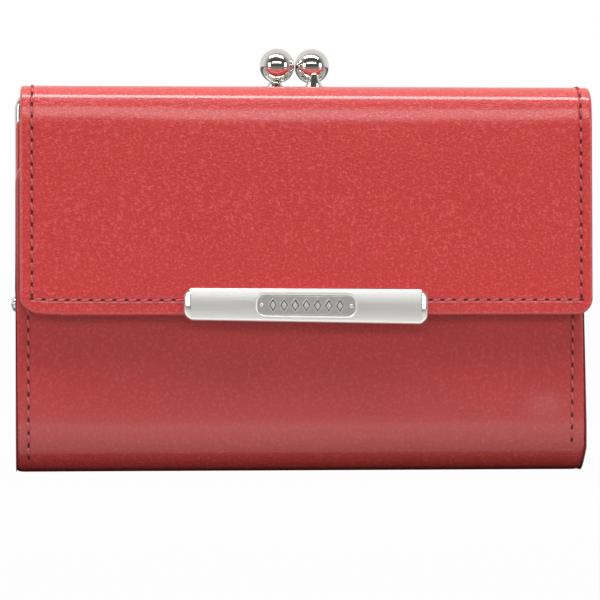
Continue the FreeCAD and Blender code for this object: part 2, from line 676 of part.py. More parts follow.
def build_rivets():
    tail_end = "(2 * Sizes.lug_thick + 2 * Sizes.lug_gap)"
    pieces = []
    for side, side_name in sides():
        shank_length = f"({tail_end} + Sizes.rivet_tail)"
        shank_start = f"-{frame_half}" if side < 0 else f"({frame_half} - {shank_length})"
        head_start = f"(-{frame_half} - Sizes.rivet_proud)" if side < 0 else frame_half
        tail_start = f"(-{frame_half} + {tail_end})" if side < 0 else f"({frame_half} - {shank_length})"
        height = "Sizes.hinge_height"
        pieces.append(disc_across(shank_start, parting, height, "Sizes.rivet_radius", shank_length))
        pieces.append(disc_across(head_start, parting, height, "Sizes.rivet_head", "Sizes.rivet_proud"))
        pieces.append(disc_across(tail_start, parting, height, "Sizes.rivet_head", "Sizes.rivet_tail"))
    keep(fuse(pieces), "hinge_rivets")


def build_clasp(side, half_name):
    # The right ball is on the front half and leans back; the left one is on the rear half and leans forward.
    height = "(Sizes.frame_top + Sizes.ball_height)"
    ball_x = f"{side} * Sizes.ball_spread"
    ball_y = f"({parting} + {side} * Sizes.ball_lean)"
    stem_x = f"{side} * Sizes.stem_spread"
    stem_y = f"({parting} - {side} * Sizes.stem_back)"
    balls = []
    for copy in ("ball", "hollow"):
        ball = document.addObject("Part::Sphere", copy)
        ball.setExpression("Radius", "Sizes.ball_radius")
        balls.append(place(ball, ball_x, ball_y, height))
    keep(balls[0], f"{half_name}_clasp_ball")
    foot = document.addObject("PartDesign::Body", "foot")
    foot_sketch = sketch_on(foot, "XY_Plane", "0")
    draw_outline(
        foot_sketch, "-Sizes.stem_width / 2", "Sizes.stem_width / 2", "-Sizes.stem_depth / 2",
        "Sizes.stem_depth / 2", "Sizes.stem_round", "Sizes.stem_round")
    tip_sketch = sketch_on(foot, "XY_Plane", "Sizes.stem_height")
    tip_round = "Sizes.stem_corner"
    draw_outline(
        tip_sketch, "-Sizes.stem_tip", "Sizes.stem_tip", "-Sizes.stem_tip", "Sizes.stem_tip",
        tip_round, tip_round)
    taper = foot.newObject("PartDesign::AdditiveLoft", "taper")
    taper.Profile = foot_sketch
    taper.Sections = [tip_sketch]
    taper.Ruled = True
    place(foot, stem_x, stem_y, "Sizes.frame_top")
    tip = document.addObject("Part::Sphere", "tip")
    tip.setExpression("Radius", "Sizes.stem_tip")
    place(tip, stem_x, stem_y, "(Sizes.frame_top + Sizes.stem_height)")
    keep(cut(fuse([foot, tip]), balls[1]), f"{half_name}_clasp_stem")


def seam(start, end, length_along_x):
    # Stitches evenly spaced from start to end, both of them pairs of X and Z.
    pitch = number("Sizes.thread_pitch")
    run = vector(end[0] - start[0], 0, end[1] - start[1])
    count = int(run.Length / pitch)
    step = run / count
    long_side, short_side = number("Sizes.thread_length"), number("Sizes.thread_width")
    wide, tall = (long_side, short_side) if length_along_x else (short_side, long_side)
    stitches = []
    for index in range(count):
        middle = vector(start[0], 0, start[1]) + step * (index + 0.5)
        corner = middle - vector(wide / 2, number("Sizes.thread_proud"), tall / 2)
        stitches.append(Part.makeBox(wide, number("Sizes.thread_proud"), tall, corner))
    return stitches


def keep_seam(name, stitches, face):
    item = document.addObject("Part::Feature", name)
    item.Shape = Part.makeCompound(stitches)
    place(item, "0", face, "0")
    keep(item, name)


def build_stitching():
    inset, hem_inset = number("Sizes.flap_seam"), number("Sizes.hem_seam")
    left, right = number(cover_left) + inset, number(cover_right) - inset
    low = number(hem) + hem_inset
    high = number("Sizes.flap_top - Sizes.fold_round") - inset / 2
    bar_left = number("Sizes.bar_shift - Sizes.bar_width / 2") - inset / 2
    bar_right = number("Sizes.bar_shift + Sizes.bar_width / 2") + inset / 2
    stitches = seam((left, low), (left, high), False) + seam((right, low), (right, high), False)
    stitches += seam((left, low), (bar_left, low), True) + seam((bar_right, low), (right, low), True)
    keep_seam("flap_stitching", stitches, front["flap_outer"])
    edge = number(half) - inset
    rounding = number("Sizes.leaf_round")
    low = number("Sizes.spine_round") + inset
    high = number("Sizes.front_height") - inset
    stitches = seam((-edge, low), (-edge, high - rounding), False)
    stitches += seam((edge, low), (edge, high - rounding), False)
    stitches += seam((rounding - edge, high), (edge - rounding, high), True)
    keep_seam("front_stitching", stitches, front["front_outer"])


def check_and_write():
    for item in document.Objects:
        if "Invalid" in item.State or "Error" in item.State:
            raise RuntimeError(f"{item.Label} did not build: {item.State}")
    for item in nodes:
        if item.Shape.isNull() or not item.Shape.isValid():
            raise RuntimeError(f"{item.Label} has no valid shape")
    for body in bored:
        volumes = [feature.Shape.Volume for feature in body.Group if hasattr(feature, "AddSubShape")]
        if any(later >= earlier for earlier, later in zip(volumes, volumes[1:])):
            raise RuntimeError(f"a pocket of {body.Label} cuts nothing")
    os.makedirs("parts", exist_ok=True)
    for item in nodes:
        item.Shape.exportStep(f"parts/{item.Label}.step")
    print(f"{len(nodes)} nodes written")


build_back()
build_spine()
build_middle_leaf()
build_front_leaf()
build_flap()
build_bridge()
build_bar()
build_snap()
build_pouch()
build_frame()
build_rivets()
build_clasp(1, "front")
build_clasp(-1, "rear")
build_stitching()
document.recompute()
check_and_write()
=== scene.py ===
import json
import math

import bpy
import numpy as np
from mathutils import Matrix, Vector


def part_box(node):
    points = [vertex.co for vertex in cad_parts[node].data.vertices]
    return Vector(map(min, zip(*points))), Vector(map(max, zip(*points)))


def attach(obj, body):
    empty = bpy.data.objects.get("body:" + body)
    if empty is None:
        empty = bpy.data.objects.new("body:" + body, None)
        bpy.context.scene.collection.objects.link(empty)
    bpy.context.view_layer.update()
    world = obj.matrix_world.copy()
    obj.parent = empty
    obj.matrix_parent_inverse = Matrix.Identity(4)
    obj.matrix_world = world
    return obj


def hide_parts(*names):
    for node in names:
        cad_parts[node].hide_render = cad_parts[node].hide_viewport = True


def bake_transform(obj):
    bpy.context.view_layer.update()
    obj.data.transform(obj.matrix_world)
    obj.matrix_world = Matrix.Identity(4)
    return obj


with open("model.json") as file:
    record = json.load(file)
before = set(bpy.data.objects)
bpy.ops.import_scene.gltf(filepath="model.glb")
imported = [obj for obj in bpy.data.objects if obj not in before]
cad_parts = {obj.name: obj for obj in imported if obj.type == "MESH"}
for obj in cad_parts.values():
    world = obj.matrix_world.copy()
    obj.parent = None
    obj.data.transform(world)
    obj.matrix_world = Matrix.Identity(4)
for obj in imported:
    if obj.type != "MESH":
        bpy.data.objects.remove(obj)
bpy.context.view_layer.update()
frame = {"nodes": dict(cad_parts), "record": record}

mm = 0.001


# Places taken from the frame, in millimetres

def nodeBox(node):
    low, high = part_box(node)
    return np.array(low) / mm, np.array(high) / mm


flapLow, flapHigh = nodeBox("flap_outer")
flapBack = nodeBox("flap_lining")[1][1]
bridgeLow, bridgeHigh = nodeBox("bridge_outer")
coverLow, coverHigh = nodeBox("back_cover")
liningFront = nodeBox("back_lining")[0][1]
leafLow, leafHigh = nodeBox("front_outer")
leafBack = nodeBox("front_lining")[1][1]
spineLow, spineHigh = nodeBox("spine_bottom")
pouchLow, pouchHigh = nodeBox("pouch_front_panel")
pouchInner = nodeBox("pouch_front_lining")[1][1]
pouchRear = nodeBox("pouch_back_upper")[1][1]
foldLow, foldHigh = nodeBox("pouch_back_fold")
frameTop = nodeBox("frame_front_half")[1][2]
barLow, barHigh = nodeBox("closure_bar")
topHeight = bridgeHigh[2]
foldRound = topHeight - flapHigh[2]
bridgeMiddle = (bridgeLow[1] + bridgeHigh[1]) / 2


# Camera

view = {"azimuth": -3.8, "elevation": 1.0, "distance": 700.0, "aimX": -0.8, "aimZ": 42.0, "width": 145.2}


def makeCamera():
    # Stands at the given angles and distance from its aim; the lens shows view["width"] at the aim.
    azimuth, elevation = math.radians(view["azimuth"]), math.radians(view["elevation"])
    aim = np.array([view["aimX"], flapLow[1], view["aimZ"]])
    flat = math.cos(elevation)
    back = np.array([math.sin(azimuth) * flat, -math.cos(azimuth) * flat, math.sin(elevation)])
    data = bpy.data.cameras.new("camera")
    data.sensor_width = 36
    data.lens = data.sensor_width * view["distance"] / view["width"]
    data.clip_start, data.clip_end = 0.05, 20
    camera = bpy.data.objects.new("camera", data)
    bpy.context.scene.collection.objects.link(camera)
    camera.location = (aim + back * view["distance"]) * mm
    camera.rotation_euler = (math.pi / 2 - elevation, 0, azimuth)
    bpy.context.scene.camera = camera


makeCamera()


# Shader expressions

class Value:
    # One output socket. Arithmetic on it adds Math nodes.
    def __init__(self, tree, socket):
        self.tree, self.socket = tree, socket

    def math(self, operation, *others, clamp=False):
        return self.tree.node("Math", {"operation": operation, "use_clamp": clamp}, self, *others)

    def __add__(self, other):
        return self.math("ADD", other)

    def __mul__(self, other):
        return self.math("MULTIPLY", other)

    def __sub__(self, other):
        return self.math("SUBTRACT", other)

    def __rsub__(self, other):
        return self.tree.node("Math", {"operation": "SUBTRACT"}, other, self)

    def __truediv__(self, other):
        return self.math("DIVIDE", other)

    __radd__, __rmul__ = __add__, __mul__

    def smooth(self, low, high):
        # 0 below low, 1 above high, an S curve between.
        return self.tree.node(
            "MapRange", {"interpolation_type": "SMOOTHSTEP"}, self, **{"From Min": low, "From Max": high})


class Tree:
    def __init__(self, name):
        self.material = bpy.data.materials.new(name)
        self.material.use_nodes = True
        self.nodes = self.material.node_tree.nodes
        self.links = self.material.node_tree.links
        self.shader = self.nodes["Principled BSDF"]

    def node(self, kind, settings=None, *values, output=0, **named):
        # A node of this kind with its settings, then its inputs in order, then its inputs by name.
        made = self.nodes.new("ShaderNode" + kind)
        for key, value in (settings or {}).items():
            setattr(made, key, value)
        for socket, value in zip(made.inputs, values):
            self.feed(socket, value)
        for key, value in named.items():
            self.feed(made.inputs[key], value)
        return Value(self, made.outputs[output])

    def feed(self, socket, value):
        if isinstance(value, Value):
            self.links.new(value.socket, socket)
        elif value is not None:
            socket.default_value = value

    def place(self):
        return self.node("TexCoord", output=3)

    def surface(self):
        # The piece's own UV map holds millimetres across and along the strip.
        return self.node("TexCoord", output=2)

    def parts(self, vector):
        split = self.node("SeparateXYZ", None, vector)
        return [Value(self, socket) for socket in split.socket.node.outputs]

    def noise(self, vector, scale, detail=2.0, roughness=0.5):
        return self.node("TexNoise", None, vector, None, scale, detail, roughness)

    def mix(self, factor, first, second):
        made = self.nodes.new("ShaderNodeMix")
        made.data_type = "RGBA"
        colours = [socket for socket in made.inputs if socket.type == "RGBA"]
        self.feed(made.inputs[0], factor)
        for socket, value in zip(colours, (first, second)):
            self.feed(socket, (*value, 1) if isinstance(value, tuple) and len(value) == 3 else value)
        return Value(self, next(socket for socket in made.outputs if socket.type == "RGBA"))

    def bump(self, height, strength, distance):
        made = self.nodes.new("ShaderNodeBump")
        made.inputs["Strength"].default_value = strength
        made.inputs["Distance"].default_value = distance
        self.feed(made.inputs["Height"], height)
        return Value(self, made.outputs[0])

    def finish(self, colour=None, rough=None, metal=None, normal=None, **fixed):
        inputs = {"Base Color": colour, "Roughness": rough, "Metallic": metal, "Normal": normal}
        inputs.update({key.replace("_", " "): value for key, value in fixed.items()})
        for name, value in inputs.items():
            if isinstance(value, tuple) and len(value) == 3:
                value = (*value, 1)
            self.feed(self.shader.inputs[name], value)
        return self.material


# Materials

# hole is the colour of painted shade in the needle holes.
leatherLook = {
    "colour": (0.615, 0.028, 0.028), "deep": (0.500, 0.023, 0.023), "pale": (0.740, 0.085, 0.080),
    "rough": 0.40, "grain": 2200.0, "grainDepth": 0.00013, "holeRadius": 0.72,
    "hole": (0.075, 0.003, 0.004)}


def seamHoles(tree, seams, pitch):
    # Needle holes: discs where the UV place comes near a seam line, once per stitch along it.
    # A seam is ("along" or "across", its place, first, last), in millimetres.
    across, along, unused = tree.parts(tree.surface())
    total = None
    for direction, place, first, last in seams:
        side, run = (across, along) if direction == "along" else (along, across)
        count = max(1, int(abs(last - first) / pitch))
        step = (last - first) / count
        phase = (run - first).math("WRAP", abs(step) / 2, -abs(step) / 2)
        away = (side - place) * 2.1
        distance = (away * away + phase * phase).math("SQRT")
        near = 1 - distance.smooth(leatherLook["holeRadius"] * 0.55, leatherLook["holeRadius"])
        inside = (run - (min(first, last) - pitch / 2)).math("GREATER_THAN", 0)
        inside = inside * (max(first, last) + pitch / 2 - run).math("GREATER_THAN", 0)
        near = near * inside
        total = near if total is None else total.math("MAXIMUM", near)
    return total


def makeLeather(name, seams=(), pitch=2.8, paintedShade=1.0, reflectionPatch=None, coarse=1.0):
    # Grained calf: cells of fine grain over a soft cloudiness, with needle holes along the seams. It can be
    # darkened all over as painted shade, and can carry a patch of painted reflection.
    tree = Tree(name)
    place = tree.place()
    cloud = tree.noise(place, 55.0, 3.0)
    cells = tree.node("TexVoronoi", {"feature": "F1"}, place, None, leatherLook["grain"], output=0)
    pores = tree.noise(place, leatherLook["grain"] * 0.6, 4.0, 0.65)
    colour = tree.mix(cloud.smooth(0.25, 0.75) * 0.22, leatherLook["colour"], leatherLook["deep"])
    colour = tree.mix(pores.smooth(0.48, 0.68) * min(1, 0.6 * coarse), colour, leatherLook["pale"])
    height = cells * 0.6 + pores * 0.6
    rough = leatherLook["rough"] + (pores - 0.5) * 0.18 + (cloud - 0.5) * 0.08
    if reflectionPatch:
        # A painted reflection: a pale hazy patch with fine creases, a lamp's glint on the leaf painted in,
        # that fades out from its middle.
        x, y, z = tree.parts(place)
        across, up = (x - reflectionPatch[0] * mm) / (reflectionPatch[2] * mm), (z - reflectionPatch[1] * mm) / (reflectionPatch[3] * mm)
        near = 1 - (across * across + up * up).math("SQRT").smooth(0.0, 1.0)
        reflection = near * (0.35 + tree.noise(place, 1700.0, 5.0, 0.75).smooth(0.45, 0.65) * 0.65)
        colour = tree.mix(reflection * 0.22, colour, (0.80, 0.42, 0.42))
    coat = 1.0
    if seams:
        holes = seamHoles(tree, seams, pitch)
        coat = 1 - holes
        # Painted shade: the needle holes are coloured near black red.
        colour = tree.mix(holes, colour, leatherLook["hole"])
        height = height - holes * 5
        rough = rough + holes * 0.3
    # Painted shade: the whole colour is mixed towards black by one minus the factor.
    if paintedShade != 1.0:
        colour = tree.mix(1 - paintedShade, colour, (0.0, 0.0, 0.0))
    normal = tree.bump(height, 0.8, leatherLook["grainDepth"] * coarse)
    return tree.finish(
        colour, rough, None, normal, Specular_IOR_Level=0.5, Coat_Weight=coat, Coat_Roughness=0.15)


def makeCloth(name, light, dark):
    # Plain weave: two crossed waves, a thread every 0.35 mm.
    tree = Tree(name)
    across, along, unused = tree.parts(tree.surface())
    weft = (across * (math.tau / 0.7)).math("SINE")
    warp = (along * (math.tau / 0.7)).math("SINE")
    weave = weft * warp
    fibre = tree.noise(tree.place(), 1500.0, 3.0)
    colour = tree.mix((weave * 0.5 + 0.5) * 0.6 + fibre * 0.4, dark, light)
    normal = tree.bump(weave + fibre, 0.6, 0.00008)
    return tree.finish(colour, 0.82, None, normal, Sheen_Weight=0.3, Sheen_Roughness=0.5)


def makeBoard(name):
    tree = Tree(name)
    place = tree.place()
    fibre = tree.noise(place, 900.0, 5.0)
    colour = tree.mix(fibre, (0.30, 0.22, 0.14), (0.45, 0.36, 0.25))
    return tree.finish(colour, 0.9, None, tree.bump(fibre, 0.4, 0.0001))


def makeThread(name):
    # Twisted thread: slanting strands from Object coordinates.
    tree = Tree(name)
    x, y, z = tree.parts(tree.place())
    twist = ((x + z) * (math.tau / 0.00032)).math("SINE")
    wear = tree.noise(tree.place(), 700.0, 2.0)
    colour = tree.mix((twist * 0.5 + 0.5) * 0.5 + wear * 0.4, (0.40, 0.024, 0.026), (0.95, 0.20, 0.19))
    return tree.finish(colour, 0.42, None, tree.bump(twist, 0.6, 0.00008), Coat_Weight=0.2)


def makePolished(name, colour=(0.80, 0.79, 0.76), rough=0.06):
    # Polished nickel: nearly clean, with faint wipe marks.
    tree = Tree(name)
    place = tree.place()
    haze = tree.noise(place, 260.0, 4.0)
    marks = tree.noise(place, 3500.0, 2.0)
    tint = tree.mix(haze * 0.35, colour, (0.62, 0.60, 0.56))
    return tree.finish(tint, rough + haze * 0.05, 1.0, tree.bump(marks, 0.08, 0.00002))


def makeSatin(name, endLow, endHigh):
    # Brushed bar: streaks drawn out along X; the two cut ends are polished.
    tree = Tree(name)
    place = tree.place()
    stretched = tree.node("Mapping", None, place, None, None, (30.0, 2500.0, 2500.0))
    streak = tree.noise(stretched, 1.0, 3.0, 0.6)
    x, y, z = tree.parts(place)
    ends = 1 - (x - endLow * mm).smooth(0.0, 0.0001) * (endHigh * mm - x).smooth(0.0, 0.0001)
    colour = tree.mix(streak, (0.86, 0.85, 0.81), (0.96, 0.95, 0.91))
    rough = 0.42 + (streak - 0.5) * 0.10 - ends * 0.32
    normal = tree.bump(streak * (1 - ends), 0.25, 0.00003)
    return tree.finish(colour, rough, 1.0, normal)


def makeInlay(name, groundY):
    # A pale ground; each raised lozenge is coloured dark on its slopes and pale on its top.
    tree = Tree(name)
    x, y, z = tree.parts(tree.place())
    raised = (groundY * mm - y).smooth(0.00002, 0.00010)
    tip = (groundY * mm - y).smooth(0.00020, 0.00030)
    colour = tree.mix(raised, (0.86, 0.85, 0.82), (0.06, 0.05, 0.045))
    colour = tree.mix(tip, colour, (0.90, 0.88, 0.84))
    grain = tree.noise(tree.place(), 3000.0, 2.0)
    return tree.finish(colour, 0.34 + tip * 0.06, 1.0, tree.bump(grain, 0.2, 0.00002))


liningCloth = makeCloth("lining_cloth", (0.30, 0.045, 0.045), (0.13, 0.016, 0.018))
boardPaper = makeBoard("board")
seamThread = makeThread("seam_thread")
nickel = makePolished("polished_nickel")
plainMetal = makePolished("plain_nickel", (0.62, 0.60, 0.56), 0.2)
# The card slots' leather: the same leather under a painted shade of 0.85.
slotLeather = makeLeather("slot_leather", paintedShade=0.85)
print("materials ready")


# Surfaces

class Surface:
    # Gathers points and quads of several sheets, and makes one mesh of them.
    def __init__(self):
        self.points, self.faces, self.slots, self.places = [], [], [], []
        self.count = 0

    def add(self, points, faces, slot=0, places=None):
        points = np.asarray(points, float).reshape(-1, 3)
        self.points.append(points)
        self.faces += (np.asarray(faces) + self.count).tolist()
        self.slots += [slot] * len(faces)
        places = np.zeros((len(points), 2)) if places is None else np.asarray(places).reshape(-1, 2)
        self.places.append(places)
        self.count += len(points)

    def grid(self, points, slot=0, flip=False, closed=False, places=None):
        rows, columns = points.shape[:2]
        self.add(points, gridFaces(rows, columns, flip, closed), slot, places)

    def cap(self, rows, columns, forward, slot=0):
        # Closes the first and last ring of the closed grid that was added last.
        start = self.count - rows * columns
        first = (start + np.arange(columns)).tolist()
        last = (start + (rows - 1) * columns + np.arange(columns)).tolist()
        self.faces += [first[::-1], last] if forward else [first, last[::-1]]
        self.slots += [slot, slot]

    def rim(self, rows, columns, forward=True):
        # Joins the edges of the last two grids, the outer one and then the inner one.
        start = self.count - 2 * rows * columns
        size = rows * columns
        i, j = np.arange(rows - 1), np.arange(columns - 1)
        row = start + i * columns
        side = np.stack([row, row + columns, row + columns + size, row + size], -1)
        end = start + np.stack([j, j + size, j + 1 + size, j + 1], -1)
        quads = np.concatenate([
            side[:, ::-1], side + columns - 1, end[:, ::-1], end + (rows - 1) * columns])
        self.faces += (quads if forward else quads[:, ::-1]).tolist()
        self.slots += [0] * len(quads)

    def make(self, name, materials, sharp=50.0):
        mesh = bpy.data.meshes.new(name)
        points = np.concatenate(self.points) * mm
        mesh.from_pydata(points.tolist(), [], self.faces)
        mesh.polygons.foreach_set("material_index", np.array(self.slots, np.int32))
        mesh.polygons.foreach_set("use_smooth", np.ones(len(self.faces), bool))
        layer = mesh.uv_layers.new(name="UVMap")
        corners = np.zeros(len(mesh.loops), np.int32)
        mesh.loops.foreach_get("vertex_index", corners)
        layer.data.foreach_set("uv", np.concatenate(self.places)[corners].astype(np.float32).ravel())
        mesh.set_sharp_from_angle(angle=math.radians(sharp))
        mesh.validate()
        for material in materials:
            mesh.materials.append(material)
        piece = bpy.data.objects.new(name, mesh)
        bpy.context.scene.collection.objects.link(piece)
        return piece


def gridFaces(rows, columns, flip=False, closed=False):
    # Quads of a grid of points; closed joins the last column to the first.
    wide = columns if closed else columns - 1
    i, j = np.meshgrid(np.arange(rows - 1), np.arange(wide), indexing="ij")
    k = (j + 1) % columns
    quads = np.stack([i * columns + j, (i + 1) * columns + j, (i + 1) * columns + k, i * columns + k], -1)
    quads = quads.reshape(-1, 4)
    return quads[:, ::-1] if flip else quads


def pathAt(path, s):
    # Place and outward normal in YZ at the distances s along straight runs and arcs.
    # On an arc of radius r the heading turns by s/r; the normal is the heading turned a quarter right.
    s = np.asarray(s, float)
    y, z = np.zeros_like(s), np.zeros_like(s)
    heading = np.zeros_like(s)
    startY, startZ = path["start"]
    angle, done = math.radians(path["heading"]), 0.0
    for index, (length, turn) in enumerate(path["runs"]):
        last = index == len(path["runs"]) - 1
        here = (s >= done if index else s == s) & ((s <= done + length) | last)
        q = s - done
        if turn:
            radius = length / math.radians(turn)
            head = angle + q / radius
            stepY = radius * (np.sin(head) - math.sin(angle))
            stepZ = radius * (math.cos(angle) - np.cos(head))
            endY = radius * (math.sin(angle + math.radians(turn)) - math.sin(angle))
            endZ = radius * (math.cos(angle) - math.cos(angle + math.radians(turn)))
        else:
            head = np.full_like(s, angle)
            stepY, stepZ = q * math.cos(angle), q * math.sin(angle)
            endY, endZ = length * math.cos(angle), length * math.sin(angle)
        y = np.where(here, startY + stepY, y)
        z = np.where(here, startZ + stepZ, z)
        heading = np.where(here, head, heading)
        startY, startZ = startY + endY, startZ + endZ
        angle, done = angle + math.radians(turn), done + length
    return y, z, np.sin(heading), -np.cos(heading)


def arc(radius, turn):
    # A run of a path: its length is the radius times the turn.
    return (radius * math.radians(abs(turn)), turn)


def pathLength(path):
    return sum(length for length, turn in path["runs"])


edgeSteps = np.array([
    0, 0.03, 0.09, 0.18, 0.3, 0.45, 0.65, 0.9, 1.2, 1.55, 1.9, 2.2, 2.5, 2.75, 3.0, 3.25, 3.5, 3.8, 4.2, 4.8])


def spread(first, last, freeFirst, freeLast, step, stops=(), reach=5.0):
    # Distances from first to last, close together at free edges and no wider apart than step between.
    near = edgeSteps[edgeSteps < min(reach, (last - first) * 0.49)]
    low = first + near if freeFirst else np.array([first])
    high = last - near[::-1] if freeLast else np.array([last])
    knots = [low[-1], *[stop for stop in stops if low[-1] < stop < high[0]], high[0]]
    middle = []
    for a, b in zip(knots, knots[1:]):
        count = max(2, int(math.ceil((b - a) / step)) + 1)
        middle.append(np.linspace(a, b, count)[1:-1])
    inner = [np.array([stop]) for stop in knots[1:-1]]
    return np.unique(np.concatenate([low, *middle, *inner, high]).round(6))


def edgeAt(edge, s):
    # A side edge is one place, or a pair of lists: distances along the strip, and the places there.
    return np.interp(s, *edge) if isinstance(edge, tuple) else np.full_like(s, edge)


def slabGrid(spec, s, columns):
    # Across-places for each row: the strip's edges pull in along a quarter circle at a free end's corners.
    left, right = edgeAt(spec["left"], s), edgeAt(spec["right"], s)
    inset = np.zeros_like(s)
    distance = np.full_like(s, 1e6)
    radii = [0]
    for place, free, radius in ((spec["first"], spec["freeFirst"], spec["roundFirst"]),
                                (spec["last"], spec["freeLast"], spec["roundLast"])):
        if not free:
            continue
        gap = np.abs(s - place)
        reach = np.clip(radius - gap, 0, radius)
        inset = np.maximum(inset, radius - np.sqrt(radius ** 2 - reach ** 2))
        distance = np.minimum(distance, gap)
        radii.append(radius)
    x = (left + inset)[:, None] + (right - left - 2 * inset)[:, None] * columns[None, :]
    side = np.minimum(x - left[:, None], right[:, None] - x)
    end = np.broadcast_to(distance[:, None], side.shape)
    radius = max(radii)
    corner = (side < radius) & (end < radius)
    turned = radius - np.sqrt(np.clip(radius - side, 0, None) ** 2 + np.clip(radius - end, 0, None) ** 2)
    edge = np.where(corner, turned, np.minimum(side, end))
    return x, np.clip(edge, 0, None), side, end


def makeSlab(name, path, materials, **given):
    # A strip of given thickness along a path. Near an edge both faces close in as a quarter circle,
    # depth = r - sqrt(r^2 - (r - edge)^2); relief adds its own depth to the outer face.
    spec = {
        "first": 0.0, "last": pathLength(path), "freeFirst": False, "freeLast": False, "roundFirst": 0.0,
        "roundLast": 0.0, "step": 1.2, "relief": None, "innerRelief": None, "share": 0.47, "stops": (),
        "columnStops": (), "reach": 5.0, "lift": None}
    spec.update(given)
    step, near = spec["step"], spec["reach"]
    s = spread(spec["first"], spec["last"], spec["freeFirst"], spec["freeLast"], step, spec["stops"], near)
    left, right = (float(edgeAt(spec[name], spec["first"])) for name in ("left", "right"))
    base = spread(left, right, True, True, step, spec["columnStops"], near)
    columns = (base - left) / (right - left)
    x, edge, side, end = slabGrid(spec, s, columns)
    thick = spec["thick"]
    rounding = thick * spec["share"]
    reach = np.clip(rounding - edge, 0, rounding)
    depth = rounding - np.sqrt(np.clip(rounding ** 2 - reach ** 2, 0, None))
    along = np.broadcast_to(s[:, None], x.shape)
    relief = spec["relief"](x, along, edge, side, end) if spec["relief"] else 0
    innerRelief = spec["innerRelief"](x, along, edge, side, end) if spec["innerRelief"] else 0
    y, z, normalY, normalZ = [part[:, None] for part in pathAt(path, s)]
    lift = spec["lift"](x, along) if spec["lift"] else 0

    def face(down):
        return np.stack([x, y - normalY * down + 0 * x, z - normalZ * down + lift + 0 * x], -1)

    outer, inner = face(depth + relief), face(thick - depth + innerRelief)
    places = np.stack([x, along], -1)
    surface = Surface()
    surface.grid(outer, 0, False, places=places)
    surface.grid(inner, 1, True, places=places)
    surface.rim(*x.shape)
    return surface.make(name, materials)


def stitchRow(path, direction, fixed, first, last, pitch, lean=1):
    # Thread along a strip: each stitch is a closed bow, rising as 1 - a^4 between its two holes.
    count = max(1, int(abs(last - first) / pitch))
    step = (last - first) / count
    centres = first + step * (np.arange(count) + 0.5)
    rows, around = 9, 8
    a = np.sin(np.linspace(-1, 1, rows) * math.pi / 2)
    b = np.linspace(0, math.tau, around, endpoint=False)
    width = seamLook["width"] / 2 * np.sqrt(np.clip(1 - a ** 6, 0, 1)) + 0.02
    along = (a * seamLook["length"] / 2)[:, None] + 0 * b[None, :]
    across = width[:, None] * np.cos(b)[None, :]
    bow = seamLook["height"] * (1 - a ** 4) - 0.18 * a ** 6
    up = width[:, None] * np.sin(b)[None, :] * 0.85 + bow[:, None]
    turn = math.radians(seamLook["slant"] * lean)
    run = along * math.cos(turn) - across * math.sin(turn)
    off = along * math.sin(turn) + across * math.cos(turn)
    s = centres[:, None, None] + run[None]
    side = fixed + off[None] + 0 * s
    up = up[None] + 0 * s
    x, along = (side, s) if direction == "along" else (s, side)
    y, z, normalY, normalZ = pathAt(path, along.ravel())
    points = np.stack([x.ravel(), y + normalY * up.ravel(), z + normalZ * up.ravel()], -1)
    return points.reshape(count, rows, around, 3)


def makeStitching(name, rows, flips=()):
    # Closes every stitch and makes one mesh of them. The rows that run across the strip come out mirrored,
    # so flips lists them and their faces are turned to look outwards.
    surface = Surface()
    for index, block in enumerate(rows):
        for points in block:
            surface.grid(points, 0, index not in flips, closed=True)
            surface.cap(*points.shape[:2], index not in flips)
    return surface.make(name, [seamThread], 80.0)


def softWave(x, s, size, seed):
    # Slow unevenness of hand-laid leather: a few crossed sine waves of about 20 to 60 mm.
    random = np.random.default_rng(seed)
    total = 0
    for length in (61.0, 43.0, 31.0, 22.0):
        turn, phase = random.uniform(0, math.pi), random.uniform(0, math.tau)
        run = x * math.cos(turn) + s * math.sin(turn)
        total = total + np.sin(run * math.tau / length + phase) * length / 61
    return total * size / 2


def seamGroove(distance, depth, width):
    # A soft groove: depth times e to the minus (distance / width) squared.
    return depth * np.exp(-(distance / width) ** 2)


def settle(piece, body, slot, *nodes):
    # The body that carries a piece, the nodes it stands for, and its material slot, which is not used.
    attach(piece, body)
    if nodes:
        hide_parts(*nodes)


# The cover strip: front leaf, spine, back cover, bridge and flap

seamLook = {
    "pitch": 2.8, "leafPitch": 3.0, "length": 2.0, "width": 0.52, "height": 0.12, "slant": 11.0,
    "inset": 2.9, "hemInset": 3.6, "leafInset": 3.1}

flapLook = {
    "tilt": 1.8, "brow": 12.0, "browRound": 30.0, "fold": 6.3, "back": 0.5, "thin": 0.25, "lift": 1.2,
    "liftReach": 11.0, "crown": 0.35, "corner": 4.0}
tilt, brow = math.radians(flapLook["tilt"]), math.radians(flapLook["brow"])
browDrop = flapLook["browRound"] * (math.sin(brow) - math.sin(tilt))
browForward = flapLook["browRound"] * (math.cos(tilt) - math.cos(brow))
foldForward = flapLook["fold"] * math.cos(brow)
foldDrop = flapLook["fold"] * (1 - math.sin(brow))
flapPath = {
    "start": (bridgeMiddle, topHeight), "heading": 180.0,
    "runs": [
        (bridgeMiddle - (flapLow[1] + flapLook["back"] + browForward + foldForward), 0),
        arc(flapLook["fold"], 90 - flapLook["brow"]),
        arc(flapLook["browRound"], flapLook["brow"] - flapLook["tilt"]),
        ((topHeight - foldDrop - browDrop - flapLow[2]) / math.cos(tilt), 0)]}
flapEnd = pathLength(flapPath)
flapSides = (flapLow[0], flapHigh[0])
hemSeam = flapEnd - seamLook["hemInset"]
flapSeams = [flapSides[0] + seamLook["inset"], flapSides[1] - seamLook["inset"]]
flapStitchEnd = flapEnd - seamLook["hemInset"] - 0.8


